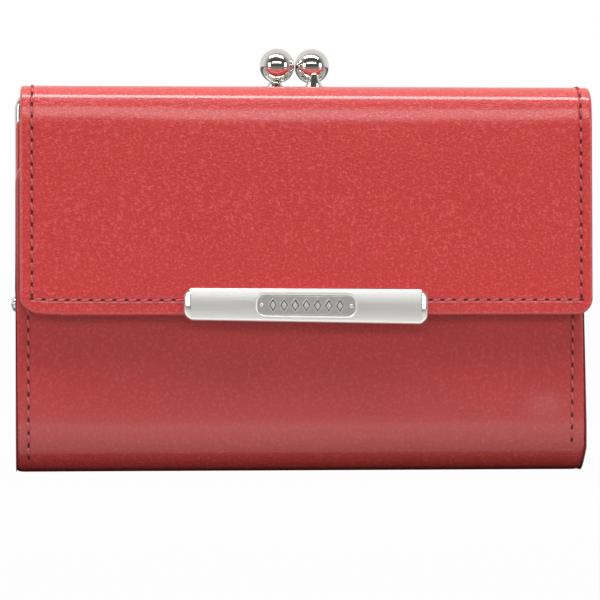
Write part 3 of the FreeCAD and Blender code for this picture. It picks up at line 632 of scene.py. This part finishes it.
def flapRelief(x, s, edge, side, end):
    # Grooves under the seam and beside the edge, less a low crown that grows inwards as a power of 0.6.
    face = np.clip((s - flapPath["runs"][0][0] - flapPath["runs"][1][0]) / 12, 0, 1)
    inner = np.minimum(side - seamLook["inset"], end - seamLook["hemInset"])
    groove = seamGroove(inner, 0.13, 0.55) + seamGroove(edge - 1.05, 0.08, 0.3)
    crown = -flapLook["crown"] * np.clip(inner / 40, 0, 1) ** 0.6 * face
    return groove + crown + softWave(x, s, 0.10, 4) * face


def flapLift(x, s):
    # The hem rises a little towards its left corner.
    near = np.clip((s - flapEnd + 12) / 12, 0, 1) ** 2
    reach = flapLook["liftReach"]
    return near * flapLook["lift"] * np.clip((flapSides[0] + reach - x) / reach, 0, 1) ** 2


def makeFlap():
    seams = [("along", place, 0.0, flapStitchEnd) for place in flapSeams]
    seams.append(("across", hemSeam, flapSeams[0], flapSeams[1]))
    leather = makeLeather("flap_leather", seams, seamLook["pitch"], coarse=2.2)
    flap = makeSlab(
        "flap_cover", flapPath, [leather, liningCloth], left=flapSides[0], right=flapSides[1], freeLast=True,
        roundLast=flapLook["corner"], thick=flapBack - flapLow[1] - flapLook["thin"], relief=flapRelief,
        lift=flapLift, step=0.9)
    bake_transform(flap)
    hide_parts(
        "flap_outer", "flap_board", "flap_lining", "bridge_outer", "bridge_board", "bridge_lining",
        "flap_front_fold")
    barLeft, barRight = barLow[0] - 0.6, barHigh[0] + 0.6
    rows = [stitchRow(flapPath, *seam, seamLook["pitch"]) for seam in seams[:2]]
    hem = stitchRow(flapPath, *seams[2], seamLook["pitch"], -1)
    middle = hem[..., 0].mean(axis=(1, 2))
    rows.append(hem[(middle < barLeft) | (middle > barRight)])
    for block in rows:
        height = block[..., 2]
        height += flapLift(block[..., 0], flapEnd - (height - flapLow[2])) * (height < 60)
    thread = makeStitching("flap_thread", rows, flips=(2,))
    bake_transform(thread)
    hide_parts("flap_stitching")


makeFlap()
print("flap ready")

leafHalf = leafHigh[0]
curve = {"radius": 45.0, "turn": 16.0, "tight": 3.4, "lean": 1.5, "corner": 8.0}
lean = math.radians(curve["lean"])
gentleDrop = curve["radius"] * (math.sin(math.radians(curve["turn"])) - math.sin(lean))
gentleBack = curve["radius"] * (math.cos(lean) - math.cos(math.radians(curve["turn"])))
tightDrop = curve["tight"] * (1 - math.sin(math.radians(curve["turn"])))
tightBack = curve["tight"] * math.cos(math.radians(curve["turn"]))
rearRound = coverLow[2]
leafRun = (leafHigh[2] - gentleDrop - tightDrop) / math.cos(lean)
leanBack = leafRun * math.sin(lean)
leafPath = {
    "start": (leafLow[1], leafHigh[2]), "heading": 270.0 + curve["lean"],
    "runs": [
        (leafRun, 0), arc(curve["radius"], curve["turn"] - curve["lean"]),
        arc(curve["tight"], 90 - curve["turn"]),
        (spineHigh[1] - (leafLow[1] + leanBack + gentleBack + tightBack), 0), arc(rearRound, 90)]}
leafThick = leafBack - leafLow[1]


def leafRelief(x, s, edge, side, end):
    # Grooves under the seam and beside the edge, on a soft wave that fades out towards the spine.
    inner = np.minimum(side - seamLook["leafInset"], end - seamLook["leafInset"])
    above = np.clip((leafRun + 12 - s) / 4, 0, 1)
    flat = np.clip((leafRun + 6 - s) / 20, 0, 1)
    crease = seamGroove(edge - 1.05, 0.08, 0.3)
    return seamGroove(inner, 0.14, 0.55) * above + crease + softWave(x, s, 0.10, 9) * flat


def leafThinning(x, s, edge, side, end):
    # The board and lining stop short of the spine, so the leaf gets thinner as it leans back.
    return -np.minimum(s, leafRun) * math.sin(lean)


def makeFrontLeaf():
    drop, inset, clear = leafRun + gentleDrop, seamLook["leafInset"], 9.0
    seams = [
        ("along", inset - leafHalf, clear, drop - 1), ("along", leafHalf - inset, clear, drop - 5),
        ("across", inset, clear - leafHalf, leafHalf - clear)]
    # A painted reflection low on the leaf's right: middle x and z, then half-width and half-height, in
    # millimetres.
    paintedReflection = (60.0, 16.5, 8.0, 5.0)
    # The leaf's leather carries a painted shade of 0.74, darker than the flap's.
    leather = makeLeather("leaf_leather", seams, seamLook["leafPitch"], paintedShade=0.74, reflectionPatch=paintedReflection)
    bulge = [(0, 0.0), (40, -0.2), (drop - 3, 0.6), (drop + 0.5, 0.0), (drop + 6, -0.9)]
    right = ([along for along, out in bulge], [leafHalf + out for along, out in bulge])
    leaf = makeSlab(
        "front_leaf_cover", leafPath, [leather, liningCloth], left=-leafHalf, right=right, freeFirst=True,
        roundFirst=curve["corner"], thick=leafThick, relief=leafRelief, innerRelief=leafThinning, step=0.9,
        share=0.46, stops=(leafRun, drop, drop + tightDrop))
    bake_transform(leaf)
    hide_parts("front_outer", "front_board", "front_lining", "spine_front_corner", "spine_bottom",
                "spine_rear_corner")
    rows = [stitchRow(leafPath, *seam, seamLook["leafPitch"]) for seam in seams]
    thread = makeStitching("leaf_thread", rows, flips=(2,))
    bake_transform(thread)
    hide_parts("front_stitching")


makeFrontLeaf()
print("front leaf ready")

backPath = {
    "start": (coverHigh[1], coverLow[2]), "heading": 90.0,
    "runs": [(topHeight - foldRound - coverLow[2], 0), arc(foldRound, 90),
             (coverHigh[1] - foldRound - bridgeMiddle, 0)]}


def makeBackCover():
    seams = [("along", place, 2.0, pathLength(backPath)) for place in flapSeams]
    leather = makeLeather("back_leather", seams, seamLook["pitch"], coarse=1.6)
    sides = [([0, 30], [edge, wide]) for edge, wide in zip((-leafHalf, leafHalf), flapSides)]
    cover = makeSlab(
        "back_cover_leather", backPath, [leather, liningCloth], left=sides[0], right=sides[1],
        thick=coverHigh[1] - liningFront, step=1.2,
        relief=lambda x, s, edge, side, end: seamGroove(side - seamLook["inset"], 0.12, 0.55))
    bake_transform(cover)
    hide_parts("back_cover", "back_lining", "flap_rear_fold")
    rows = [stitchRow(backPath, "along", place, 30.0, pathLength(backPath), seamLook["pitch"])
            for place in flapSeams]
    thread = makeStitching("back_thread", rows)
    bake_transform(thread)


makeBackCover()
print("back cover ready")


# Leaves inside

def uprightPath(y, low, high):
    # A straight run down the front face of an upright piece, whose outer side looks forward.
    return {"start": (y, high), "heading": 270.0, "runs": [(high - low, 0)]}


def makeUpright(name, nodes, body, slot, materials, roundTop=0.0, freeLast=False, drop=0.0, **more):
    # A flat leaf in the box of its CAD nodes, with a soft rim all round and its own top corners.
    boxes = [nodeBox(node) for node in nodes]
    low = np.min([box[0] for box in boxes], axis=0)
    high = np.max([box[1] for box in boxes], axis=0)
    path = uprightPath(low[1], low[2] + drop, high[2])
    piece = makeSlab(
        name, path, materials, left=low[0], right=high[0], thick=high[1] - low[1], freeFirst=True,
        roundFirst=roundTop, freeLast=freeLast, step=4.0, **more)
    settle(piece, body, slot, *nodes)
    return piece


def slotRelief(x, s, edge, side, end):
    # A creased line along a pocket's top edge.
    return seamGroove(end - 1.3, 0.08, 0.25)


def makeInside():
    plain = makeLeather("leaf_inner_leather")
    makeUpright(
        "middle_leaf", ["middle_board", "middle_lining"], "case", "slot_leather", [plain, liningCloth], 2.5)
    pockets = (("front", "front_leaf", {"drop": 4.0, "innerRelief": lambda *places: -slotRelief(*places)}),
               ("middle", "case", {"relief": slotRelief}))
    for leaf, body, more in pockets:
        for level in ("upper", "middle", "lower"):
            makeUpright(
                f"{leaf}_card_slot_{level}", [f"{leaf}_slot_{level}"], body, "slot_leather",
                [slotLeather, slotLeather], 1.5, **more)
    divider = makeUpright(
        "bill_divider_cloth", ["bill_divider"], "case", "lining_cloth", [liningCloth, liningCloth], 3.0)
    for side in ("left", "right"):
        makeUpright(f"bill_gusset_{side}_cloth", [f"bill_gusset_{side}"], "case", "lining_cloth",
                    [liningCloth, liningCloth], share=0.3)


makeInside()
print("inner leaves ready")


# Coin pouch

pouchRound = 3.0
pouchThick = pouchInner - pouchLow[1]
pouchBelly = 1.3
pouchCorner = 4.0


def makePouchPieces():
    # The front panel stays with the case; bottom and back are one strip with a curve at its rear corner.
    seamEndHeight = foldLow[2] - 1
    places = (pouchLow[0] + 3.0, pouchHigh[0] - 3.0)
    frontPath = {"start": (pouchLow[1], pouchHigh[2]), "heading": 270.0,
                 "runs": [(pouchHigh[2] - pouchRound, 0), arc(pouchRound, 90)]}
    backStrip = {"start": (pouchLow[1] + pouchRound, 0.0), "heading": 0.0,
                 "runs": [(pouchRear - pouchLow[1] - 2 * pouchRound, 0), arc(pouchRound, 90),
                          (pouchHigh[2] - pouchRound, 0)]}
    backStart = backStrip["runs"][0][0] + backStrip["runs"][1][0]
    seamStart = backStart + 1
    seamEnd = seamStart + seamEndHeight - pouchRound
    seams = [("along", place, seamStart, seamEnd) for place in places]
    leather = makeLeather("pouch_leather", seams, seamLook["leafPitch"], coarse=1.6)
    front = makeSlab(
        "pouch_front_leather", frontPath, [leather, liningCloth], left=pouchLow[0], right=pouchHigh[0],
        thick=pouchThick, step=2.5, share=0.45, freeFirst=True, roundFirst=pouchCorner)
    settle(front, "case", "cover_leather", "pouch_front_panel", "pouch_front_lining")

    def belly(x, s, edge, side, end):
        # The back bulges as the product of two smooth steps, one up it and one across it.
        height = s - backStart + pouchRound
        up = np.clip((height - pouchRound) / 14, 0, 1) * np.clip((pouchHigh[2] - 6.5 - height) / 22, 0, 1)
        across = np.clip((side - 6.5) / 22, 0, 1)
        blend = up * up * (3 - 2 * up) * across * across * (3 - 2 * across)
        return -(pouchBelly + softWave(x, s, 0.25, 21)) * blend

    rear = makeSlab(
        "pouch_back_leather", backStrip, [leather, liningCloth], left=pouchLow[0], right=pouchHigh[0],
        thick=pouchThick, step=1.3, relief=belly, innerRelief=belly, share=0.45, freeLast=True,
        roundLast=pouchCorner)
    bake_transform(rear)
    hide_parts("pouch_back_upper", "pouch_back_fold", "pouch_back_lower", "pouch_upper_lining",
                "pouch_lower_lining", "pouch_bottom")
    rows = [stitchRow(backStrip, *seam, seamLook["leafPitch"]) for seam in seams]
    settle(makeStitching("pouch_thread", rows), "case", "thread")


gussetLook = {"depth": 3.6, "thick": 1.0, "rise": 3.5}


def makeGusset(side):
    # A side of the pouch folded inwards: x goes in by a V across the depth, less towards the bottom.
    low, high = nodeBox(f"pouch_gusset_{side}")
    sign = -1 if side == "left" else 1
    outerX = high[0] if sign > 0 else low[0]
    z = np.linspace(1.3, high[2] + gussetLook["rise"], 40)[:, None]
    t = np.linspace(0, 1, 25)[None, :]
    fold = (1 - np.abs(2 * t - 1)) ** 0.9
    deep = gussetLook["depth"] * np.clip(z / 20, 0.1, 1)
    x = sign * (abs(outerX) - deep * fold)
    y = low[1] - 0.2 + (high[1] - low[1] + 0.4) * t + 0 * z
    outer = np.stack([x, y, z + 0 * t], -1)
    inner = outer - np.array([sign * gussetLook["thick"], 0, 0])
    surface = Surface()
    surface.grid(outer, 0, sign > 0, places=np.stack([y, z + 0 * t], -1))
    surface.grid(inner, 1, sign < 0, places=np.stack([y, z + 0 * t], -1))
    surface.rim(*outer.shape[:2], sign < 0)
    piece = surface.make(f"pouch_gusset_{side}_leather", [slotLeather, liningCloth])
    settle(piece, "case", "cover_leather", f"pouch_gusset_{side}")


makePouchPieces()
for side in ("left", "right"):
    makeGusset(side)
makeUpright("pouch_stiffener_board", ["pouch_stiffener"], "case", "board", [boardPaper, boardPaper])
print("coin pouch ready")


# Metal

barLook = {
    "window": (23.7, 4.7, 1.9), "windowDepth": 0.85, "crown": 0.5, "end": 1.7, "endDrop": 0.9, "corner": 2.4,
    "bevel": 0.45, "sag": 0.4, "sagMore": 0.7, "raise": 0.6}
barCentre = (barLow + barHigh) / 2


def roundedWindow(x, z, width, height, radius):
    # Distance inside a rounded rectangle, positive inside.
    dx = np.abs(x) - (width / 2 - radius)
    dz = np.abs(z) - (height / 2 - radius)
    outside = np.sqrt(np.clip(dx, 0, None) ** 2 + np.clip(dz, 0, None) ** 2)
    return radius - outside - np.minimum(np.maximum(dx, dz), 0)


def barSag(x, z):
    # The bar hangs a little lower to the right, its lower edge more than its upper one.
    right = (x - barLow[0]) / (barHigh[0] - barLow[0])
    return barLook["raise"] - right * (
        barLook["sag"] + barLook["sagMore"] * (barHigh[2] - z) / (barHigh[2] - barLow[2]))


def makeBar():
    high = barHigh[2]

    def relief(x, s, edge, side, end):
        # A crown that falls as the square of the height, dropped ends, and a window with bevelled walls.
        z = high - s - barCentre[2]
        across = z / ((barHigh[2] - barLow[2]) / 2)
        crown = barLook["crown"] * across ** 2
        ends = barLook["endDrop"] * np.clip(1 - side / barLook["end"], 0, 1)
        inside = roundedWindow(x - barCentre[0], z, *barLook["window"])
        wall = np.clip(inside / 0.14 + 0.5, 0, 1)
        bevel = np.clip(inside / barLook["bevel"] + 1, 0, 1) * 0.22
        window = (barLook["windowDepth"] - crown - 0.22) * wall * wall * (3 - 2 * wall) + bevel
        return crown + ends + window

    width, height, radius = barLook["window"]
    around = [(sign, shift) for sign in (-1, 1) for shift in np.linspace(-0.2, 0.2, 7)]
    edges = [barCentre[0] + sign * width / 2 + shift for sign, shift in around]
    rows = [high - barCentre[2] + sign * height / 2 + shift for sign, shift in around]
    ends = [barLow[0] + barLook["end"], barHigh[0] - barLook["end"]]
    material = makeSatin("satin_bar", *ends)
    bar = makeSlab(
        "hem_bar", uprightPath(barLow[1], barLow[2], high), [material, material], left=barLow[0],
        right=barHigh[0], thick=barHigh[1] - barLow[1], freeFirst=True, freeLast=True, step=0.22, reach=0.7,
        relief=relief, share=0.2, columnStops=sorted(edges + ends), stops=sorted(rows),
        roundFirst=barLook["corner"], roundLast=barLook["corner"], lift=lambda x, s: barSag(x, high - s))
    settle(bar, "flap_panel", "bar_metal", "closure_bar")


inlayLook = {"spacing": 2.7, "count": 7, "wide": 1.1, "tall": 1.6, "rise": 0.3, "corner": 1.7}


def makeInlayPlate():
    # The plate in the window with a row of raised lozenges: height grows as 1 - |x|/a - |z|/b inside each.
    low, high = nodeBox("bar_inlay")
    middle = (low + high) / 2

    def relief(x, s, edge, side, end):
        z = high[2] - s - middle[2]
        spacing = inlayLook["spacing"]
        near = (x - middle[0] + spacing / 2) % spacing - spacing / 2
        inRow = np.abs(x - middle[0]) < spacing * inlayLook["count"] / 2
        lozenge = np.clip(1 - np.abs(near) / inlayLook["wide"] - np.abs(z) / inlayLook["tall"], 0, 1)
        return -inlayLook["rise"] * np.clip(lozenge * 2, 0, 1) * inRow

    metal = makeInlay("inlay_metal", low[1])
    plate = makeSlab(
        "bar_inlay_plate", uprightPath(low[1], low[2], high[2]), [metal, metal], left=low[0], right=high[0],
        thick=high[1] - low[1], freeFirst=True, freeLast=True, step=0.12, reach=0.4, relief=relief,
        roundFirst=inlayLook["corner"], roundLast=inlayLook["corner"], share=0.2,
        lift=lambda x, s: barSag(x, high[2] - s))
    settle(plate, "flap_panel", "inlay_metal", "bar_inlay")


def lathe(surface, centre, axis, profile, around=32, slot=0):
    # A profile of (distance along the axis, radius) points turned about the axis, closed at both ends.
    profile = np.asarray(profile, float)
    angle = np.linspace(0, math.tau, around, endpoint=False)
    axis = np.asarray(axis, float)
    first = np.cross(axis, [0.31, 0.57, 0.76])
    first /= np.linalg.norm(first)
    second = np.cross(axis, first)
    ring = np.cos(angle)[:, None] * first + np.sin(angle)[:, None] * second
    along, wide = profile[:, 0, None, None], profile[:, 1, None, None]
    points = np.asarray(centre, float) + along * axis + wide * ring[None]
    near, far = profile[:-1], profile[1:]
    rings = near[:, 1] ** 2 + near[:, 1] * far[:, 1] + far[:, 1] ** 2
    forward = np.sum(rings * (far[:, 0] - near[:, 0])) > 0
    surface.grid(points, slot, bool(forward), closed=True)
    surface.cap(len(profile), around, forward, slot)


def dome(radius, height, count=8):
    # Half an ellipse from its rim to near its pole.
    angle = np.linspace(0, math.pi / 2 * 0.985, count)
    return [(height * math.sin(a), radius * math.cos(a)) for a in angle]


def makeInlayPins():
    low, high = nodeBox("inlay_pins")
    height, radius = high[1] - low[1], (high[2] - low[2]) / 2
    surface = Surface()
    middle = (low[2] + high[2]) / 2
    for x in (low[0] + radius, high[0] - radius):
        lathe(surface, (x, high[1], middle + barSag(x, middle)), (0, -1, 0), dome(radius, height), 16)
    settle(surface.make("inlay_pin_heads", [nickel]), "flap_panel", "inlay_metal", "inlay_pins")


claspLook = {"front": -0.95, "rear": -0.75, "foot": 2.4, "tip": 0.8, "rise": 4.75}


def makeClasp(halfName, body):
    # A ball and its stem: the stem's oval foot narrows as (1 - t)^1.6 to a round tip against the ball.
    ballLow, ballHigh = nodeBox(f"{halfName}_clasp_ball")
    stemLow, stemHigh = nodeBox(f"{halfName}_clasp_stem")
    centre, radius = (ballLow + ballHigh) / 2, (ballHigh[0] - ballLow[0]) / 2
    centre[0] += claspLook[halfName]
    surface = Surface()
    polar = np.linspace(0.012, math.pi - 0.012, 49)
    lathe(surface, centre, (0, 0, 1), np.stack([-np.cos(polar), np.sin(polar)], -1) * radius, 72)
    rings, around = 26, 40
    t = np.linspace(0, 1, rings)
    angle = np.linspace(0, math.tau, around, endpoint=False)
    footX = (stemHigh[0] - stemLow[0]) / 2
    footY = min(footX, claspLook["foot"])
    tip = claspLook["tip"]
    narrow = (1 - t) ** 1.6
    wideX = tip + (footX - tip) * narrow
    wideY = tip + (footY - tip) * narrow
    lastDome = np.sqrt(np.clip(1 - np.clip((t - 0.82) / 0.18, 0, 0.995) ** 2, 0, 1))
    stemX = (stemLow[0] + stemHigh[0]) / 2 + claspLook[halfName]
    stemY = stemHigh[1] - claspLook["foot"] if halfName == "rear" else stemLow[1] + claspLook["foot"]
    base = frameTop - 0.05
    z = base + claspLook["rise"] * t
    x = stemX + (wideX * lastDome)[:, None] * np.cos(angle)
    y = stemY + (wideY * lastDome)[:, None] * np.sin(angle)
    points = np.stack([x, y, z[:, None] + 0 * x], -1)
    surface.grid(points, 0, True, closed=True)
    surface.cap(rings, around, True)
    clasp = surface.make(f"{halfName}_clasp", [nickel], 60.0)
    settle(clasp, body, "frame_metal", f"{halfName}_clasp_ball", f"{halfName}_clasp_stem")


def roundedOutline(corners, steps=5):
    # A closed line through corners (u, v, radius), each turned by an arc that touches both its sides.
    points = []
    for index, (u, v, radius) in enumerate(corners):
        here = np.array([u, v])
        before = np.array(corners[index - 1][:2]) - here
        after = np.array(corners[(index + 1) % len(corners)][:2]) - here
        before, after = before / np.linalg.norm(before), after / np.linalg.norm(after)
        half = math.acos(np.clip(before @ after, -1, 1)) / 2
        reach = radius / math.tan(half)
        middle = (before + after) / np.linalg.norm(before + after)
        centre = here + middle * radius / math.sin(half)
        first, last = here + before * reach - centre, here + after * reach - centre
        sweep = np.linspace(0, 1, steps)[:, None] * (math.pi - 2 * half)
        cross = np.sign(first[0] * last[1] - first[1] * last[0])
        turned = np.stack([-first[1], first[0]]) * cross
        points.append(centre + first * np.cos(sweep) + turned * np.sin(sweep))
    return np.concatenate(points)


frameLook = {
    "corner": 5.0, "band": 6.0, "wall": 0.6, "edge": 1.4, "lip": 0.28, "inner": 0.7, "lugThick": 0.8,
    "lugBevel": 0.25, "gap": 0.1}


def frameLine(half, top, bottom):
    # The outer line of a frame half in X and Z with its outward normal: up a leg, across, down the other.
    turn = np.linspace(0, math.pi / 2, 13)
    corner = frameLook["corner"]
    leg = np.linspace(bottom, top - corner, 12)[:-1]
    legX, legNormal = np.full_like(leg, -half), np.stack([-np.ones_like(leg), 0 * leg], -1)
    arcNormal = np.stack([-np.cos(turn), np.sin(turn)], -1)
    arcPoints = np.array([-half + corner, top - corner]) + arcNormal * corner
    left = np.concatenate([np.stack([legX, leg], -1), arcPoints])
    leftNormal = np.concatenate([legNormal, arcNormal])
    mirror = np.array([-1, 1])
    return [np.concatenate([part, part[::-1] * mirror]) for part in (left, leftNormal)]


def makeFrameHalf(halfName, body):
    # A channel carried along the frame's line, with a lug plate at the foot of each leg.
    low, high = nodeBox(f"frame_{halfName}_half")
    rivetLow, rivetHigh = nodeBox("hinge_rivets")
    hinge = (rivetLow + rivetHigh) / 2
    lugRound = hinge[2] - low[2]
    gap, lug, bevel = frameLook["gap"], frameLook["lugThick"], frameLook["lugBevel"]
    front = halfName == "front"
    near, far = (low[1], hinge[1] - gap) if front else (hinge[1] + gap, high[1])
    band, wall, lip, inner = (frameLook[key] for key in ("band", "wall", "lip", "inner"))
    edge = frameLook["edge"]
    outline = roundedOutline([
        (0, near, edge), (0, far, edge), (band, far, lip), (band, far - wall, lip), (wall, far - wall, inner),
        (wall, near + wall, inner), (band, near + wall, lip), (band, near, lip)])
    legEnd = hinge[2] + lugRound + 0.4
    line, normal = frameLine(high[0], high[2], legEnd)
    inward = line[:, None, :] - normal[:, None, :] * outline[None, :, :1]
    points = np.stack([inward[..., 0], outline[None, :, 1] + 0 * inward[..., 0], inward[..., 1]], -1)
    surface = Surface()
    surface.grid(points, 0, False, closed=True)
    surface.cap(len(line), len(outline), False)
    depth = 0.0 if front else lug + 0.2
    angle = np.linspace(-math.pi, 0, 25) if front else np.linspace(0, -math.pi, 25)
    shoulders = (far - 0.7, near + 1.4) if front else (near + 0.7, far - 1.4)
    top = hinge[2] + lugRound + 2.2
    y = np.concatenate([hinge[1] + lugRound * np.cos(angle), shoulders])
    z = np.concatenate([hinge[2] + lugRound * np.sin(angle), [top, top]])
    for side in (-1, 1):
        ring = []
        for inset, shift in ((bevel, 0.0), (0.0, bevel), (0.0, lug - bevel), (bevel, lug)):
            scale = 1 - inset / lugRound
            x = np.full_like(y, side * (high[0] - depth - shift - 0.02))
            around = [middle + (part - middle) * scale for part, middle in ((y, hinge[1]), (z, hinge[2]))]
            ring.append(np.stack([x, *around], -1))
        plate = np.stack(ring)
        flip = (side > 0) != front
        surface.grid(plate, 0, flip, closed=True)
        surface.cap(*plate.shape[:2], flip)
    frameHalf = surface.make(f"frame_{halfName}_channel", [nickel], 40.0)
    settle(frameHalf, body, "frame_metal", f"frame_{halfName}_half")


def makeRivets():
    # A domed head on a shank at each side.
    low, high = nodeBox("hinge_rivets")
    middle = (low + high) / 2
    surface = Surface()
    head, shank, proud, rim = 1.9, 0.9, 1.0, 0.15
    profile = [(-3.0, 0.05), (-3.0, shank), (0.0, shank), (0.0, head), (rim, head)]
    profile += [(rim + (proud - rim) * a, r) for a, r in dome(head, 1.0)]
    for side in (-1, 1):
        lathe(surface, (side * (high[0] - proud), middle[1], middle[2]), (side, 0, 0), profile)
    settle(surface.make("hinge_rivet_heads", [nickel], 40.0), "case", "frame_metal", "hinge_rivets")


def makeSnap():
    # Press stud: a rolled ring on the flap's lining, a domed post on the leaf.
    low, high = nodeBox("snap_socket")
    x, z = (low[0] + high[0]) / 2, (low[2] + high[2]) / 2
    ring = Surface()
    outer, hole = 3.5, 2.2
    profile = [(-0.3, 0.05), (-0.3, outer), (0.12, outer), (0.2, outer - 0.12), (0.22, outer - 0.5),
               (0.2, hole + 0.3), (0.08, hole + 0.04), (0.05, hole - 0.3), (0.04, 0.05)]
    lathe(ring, (x, high[1], z), (0, 1, 0), profile)
    socket = ring.make("snap_socket_ring", [plainMetal])
    settle(socket, "flap_panel", "fastener_metal", "snap_socket")
    low, high = nodeBox("snap_stud")
    post = Surface()
    face = leafLow[1]
    height = face - low[1]
    profile = [(-0.4, 3.5), (0.05, 3.5), (0.15, 3.35), (0.16, 2.2), (0.18, 1.75), (height * 0.5, 1.55),
               (height * 0.75, 1.85), (height * 0.93, 1.7), (height, 1.2), (height + 0.01, 0.05)]
    lathe(post, (x, face, z), (0, -1, 0), profile)
    settle(post.make("snap_stud_post", [plainMetal]), "front_leaf", "fastener_metal", "snap_stud")


makeBar()
makeInlayPlate()
makeInlayPins()
for halfName, body in (("front", "case"), ("rear", "frame_rear")):
    makeClasp(halfName, body)
    makeFrameHalf(halfName, body)
makeRivets()
makeSnap()


def finishCarriedNodes():
    # Nodes that stay as they are take a material by their slot.
    looks = {"frame_metal": nickel, "fastener_metal": plainMetal, "board": boardPaper, "thread": seamThread,
             "lining_cloth": liningCloth, "slot_leather": slotLeather, "cover_leather": slotLeather,
             "inlay_metal": nickel, "bar_metal": nickel}
    slots = {part["node"]: part["material_slot"] for part in frame["record"]["subparts"]}
    for name, node in frame["nodes"].items():
        material = looks[slots[name]]
        if not node.material_slots:
            node.data.materials.append(material)
        for slot in node.material_slots:
            slot.material = material


finishCarriedNodes()
print("metal ready")


# Floor, backdrop and light

# dark and pale are the floor's painted shade and painted pool of light; mirrored is how much the glowing band
# shows in reflections.
floorLook = {"dark": 0.10, "pale": 0.50, "camera": 0.98, "mirrored": 0.3, "reach": 6.0}


def makeStage():
    # White to the camera. Its colour is painted light for what it throws on the piece: dark near it as a
    # painted contact shadow, dark far off as painted shade, and pale between as a painted pool of light.
    tree = Tree("studio_floor")
    x, y, z = tree.parts(tree.place())
    away = y.math("ABSOLUTE")
    pale = away.smooth(0.025, 0.07) * (1 - away.smooth(0.07, 0.22) * 0.85)
    # A band in front that glows in reflections only, a painted reflection of a lit table.
    glowBand = away.smooth(0.014, 0.032) * (1 - away.smooth(0.12, 0.25))
    tree.finish(tree.mix(pale, (floorLook["dark"],) * 3, (floorLook["pale"],) * 3), 0.9)
    path = tree.nodes.new("ShaderNodeLightPath")
    glow = tree.nodes.new("ShaderNodeEmission")
    glow.inputs["Color"].default_value = (1, 1, 1, 1)
    blend = tree.nodes.new("ShaderNodeMixShader")
    share = Value(tree, path.outputs["Is Camera Ray"]) * floorLook["camera"]
    for name in ("Is Glossy Ray", "Is Transmission Ray"):
        share = share.math("MAXIMUM", Value(tree, path.outputs[name]) * (glowBand * floorLook["mirrored"]))
    tree.links.new(share.socket, blend.inputs[0])
    tree.links.new(tree.shader.outputs[0], blend.inputs[1])
    tree.links.new(glow.outputs[0], blend.inputs[2])
    tree.links.new(blend.outputs[0], tree.nodes["Material Output"].inputs["Surface"])
    mesh = bpy.data.meshes.new("floor")
    corners = np.array([(-1, -1, 0), (1, -1, 0), (1, 1, 0), (-1, 1, 0)]) * floorLook["reach"]
    mesh.from_pydata(corners.tolist(), [], [(0, 1, 2, 3)])
    mesh.materials.append(tree.material)
    floor = bpy.data.objects.new("floor", mesh)
    bpy.context.scene.collection.objects.link(floor)


worldLook = {"From Min": -0.55, "From Max": 0.35, "To Min": 0.09, "To Max": 0.85}


def makeWorld():
    # White behind the object and darker in front of it, so that metal shows a pale rim round a dark middle.
    world = bpy.data.worlds.new("studio")
    bpy.context.scene.world = world
    world.use_nodes = True
    nodes, links = world.node_tree.nodes, world.node_tree.links
    place = nodes.new("ShaderNodeTexCoord")
    split = nodes.new("ShaderNodeSeparateXYZ")
    ramp = nodes.new("ShaderNodeMapRange")
    ramp.interpolation_type = "SMOOTHSTEP"
    for name, value in worldLook.items():
        ramp.inputs[name].default_value = value
    background = nodes["Background"]
    background.inputs["Color"].default_value = (1.0, 0.985, 0.95, 1)
    white = nodes.new("ShaderNodeBackground")
    white.inputs["Color"].default_value = (1, 1, 1, 1)
    path = nodes.new("ShaderNodeLightPath")
    blend = nodes.new("ShaderNodeMixShader")
    links.new(place.outputs["Generated"], split.inputs[0])
    links.new(split.outputs[1], ramp.inputs[0])
    links.new(ramp.outputs[0], background.inputs["Strength"])
    links.new(path.outputs["Is Camera Ray"], blend.inputs[0])
    links.new(background.outputs[0], blend.inputs[1])
    links.new(white.outputs[0], blend.inputs[2])
    links.new(blend.outputs[0], nodes["World Output"].inputs["Surface"])


lamps = {
    "overhead": {"place": (-0.03, -0.17, 0.545), "aim": (0, 0, 0.05), "size": (0.8, 0.10), "power": 3.2},
    "front": {"place": (-0.1, -1.02, 0.50), "aim": (0, 0, 0.06), "size": (1.3, 0.2), "power": 2.6},
    "left": {"place": (-0.85, -0.57, 0.2), "aim": (0, 0, 0.05), "size": (0.3, 0.4), "power": 1.3},
    "right": {"place": (0.85, -0.57, 0.2), "aim": (0, 0, 0.05), "size": (0.3, 0.4), "power": 1.5},
    "card": {"place": (0, -0.037, 0.001), "aim": (0, -0.037, 1.0), "size": (0.5, 0.05), "power": 0.052},
}


def makeLamps():
    # Each lamp's rotation turns its face towards its aim.
    for name, lamp in lamps.items():
        data = bpy.data.lights.new(name, "AREA")
        data.shape = "RECTANGLE"
        data.size, data.size_y = lamp["size"]
        data.energy = lamp["power"]
        light = bpy.data.objects.new(name, data)
        bpy.context.scene.collection.objects.link(light)
        light.location = lamp["place"]
        away = np.array(lamp["aim"]) - np.array(lamp["place"])
        turn = math.atan2(-away[0], away[1])
        tilt = math.atan2(away[2], math.hypot(away[0], away[1]))
        light.rotation_euler = (math.pi / 2 + tilt, 0, turn)


makeStage()
makeWorld()
makeLamps()
bpy.context.scene.view_settings.view_transform = "Standard"
print("stage ready")
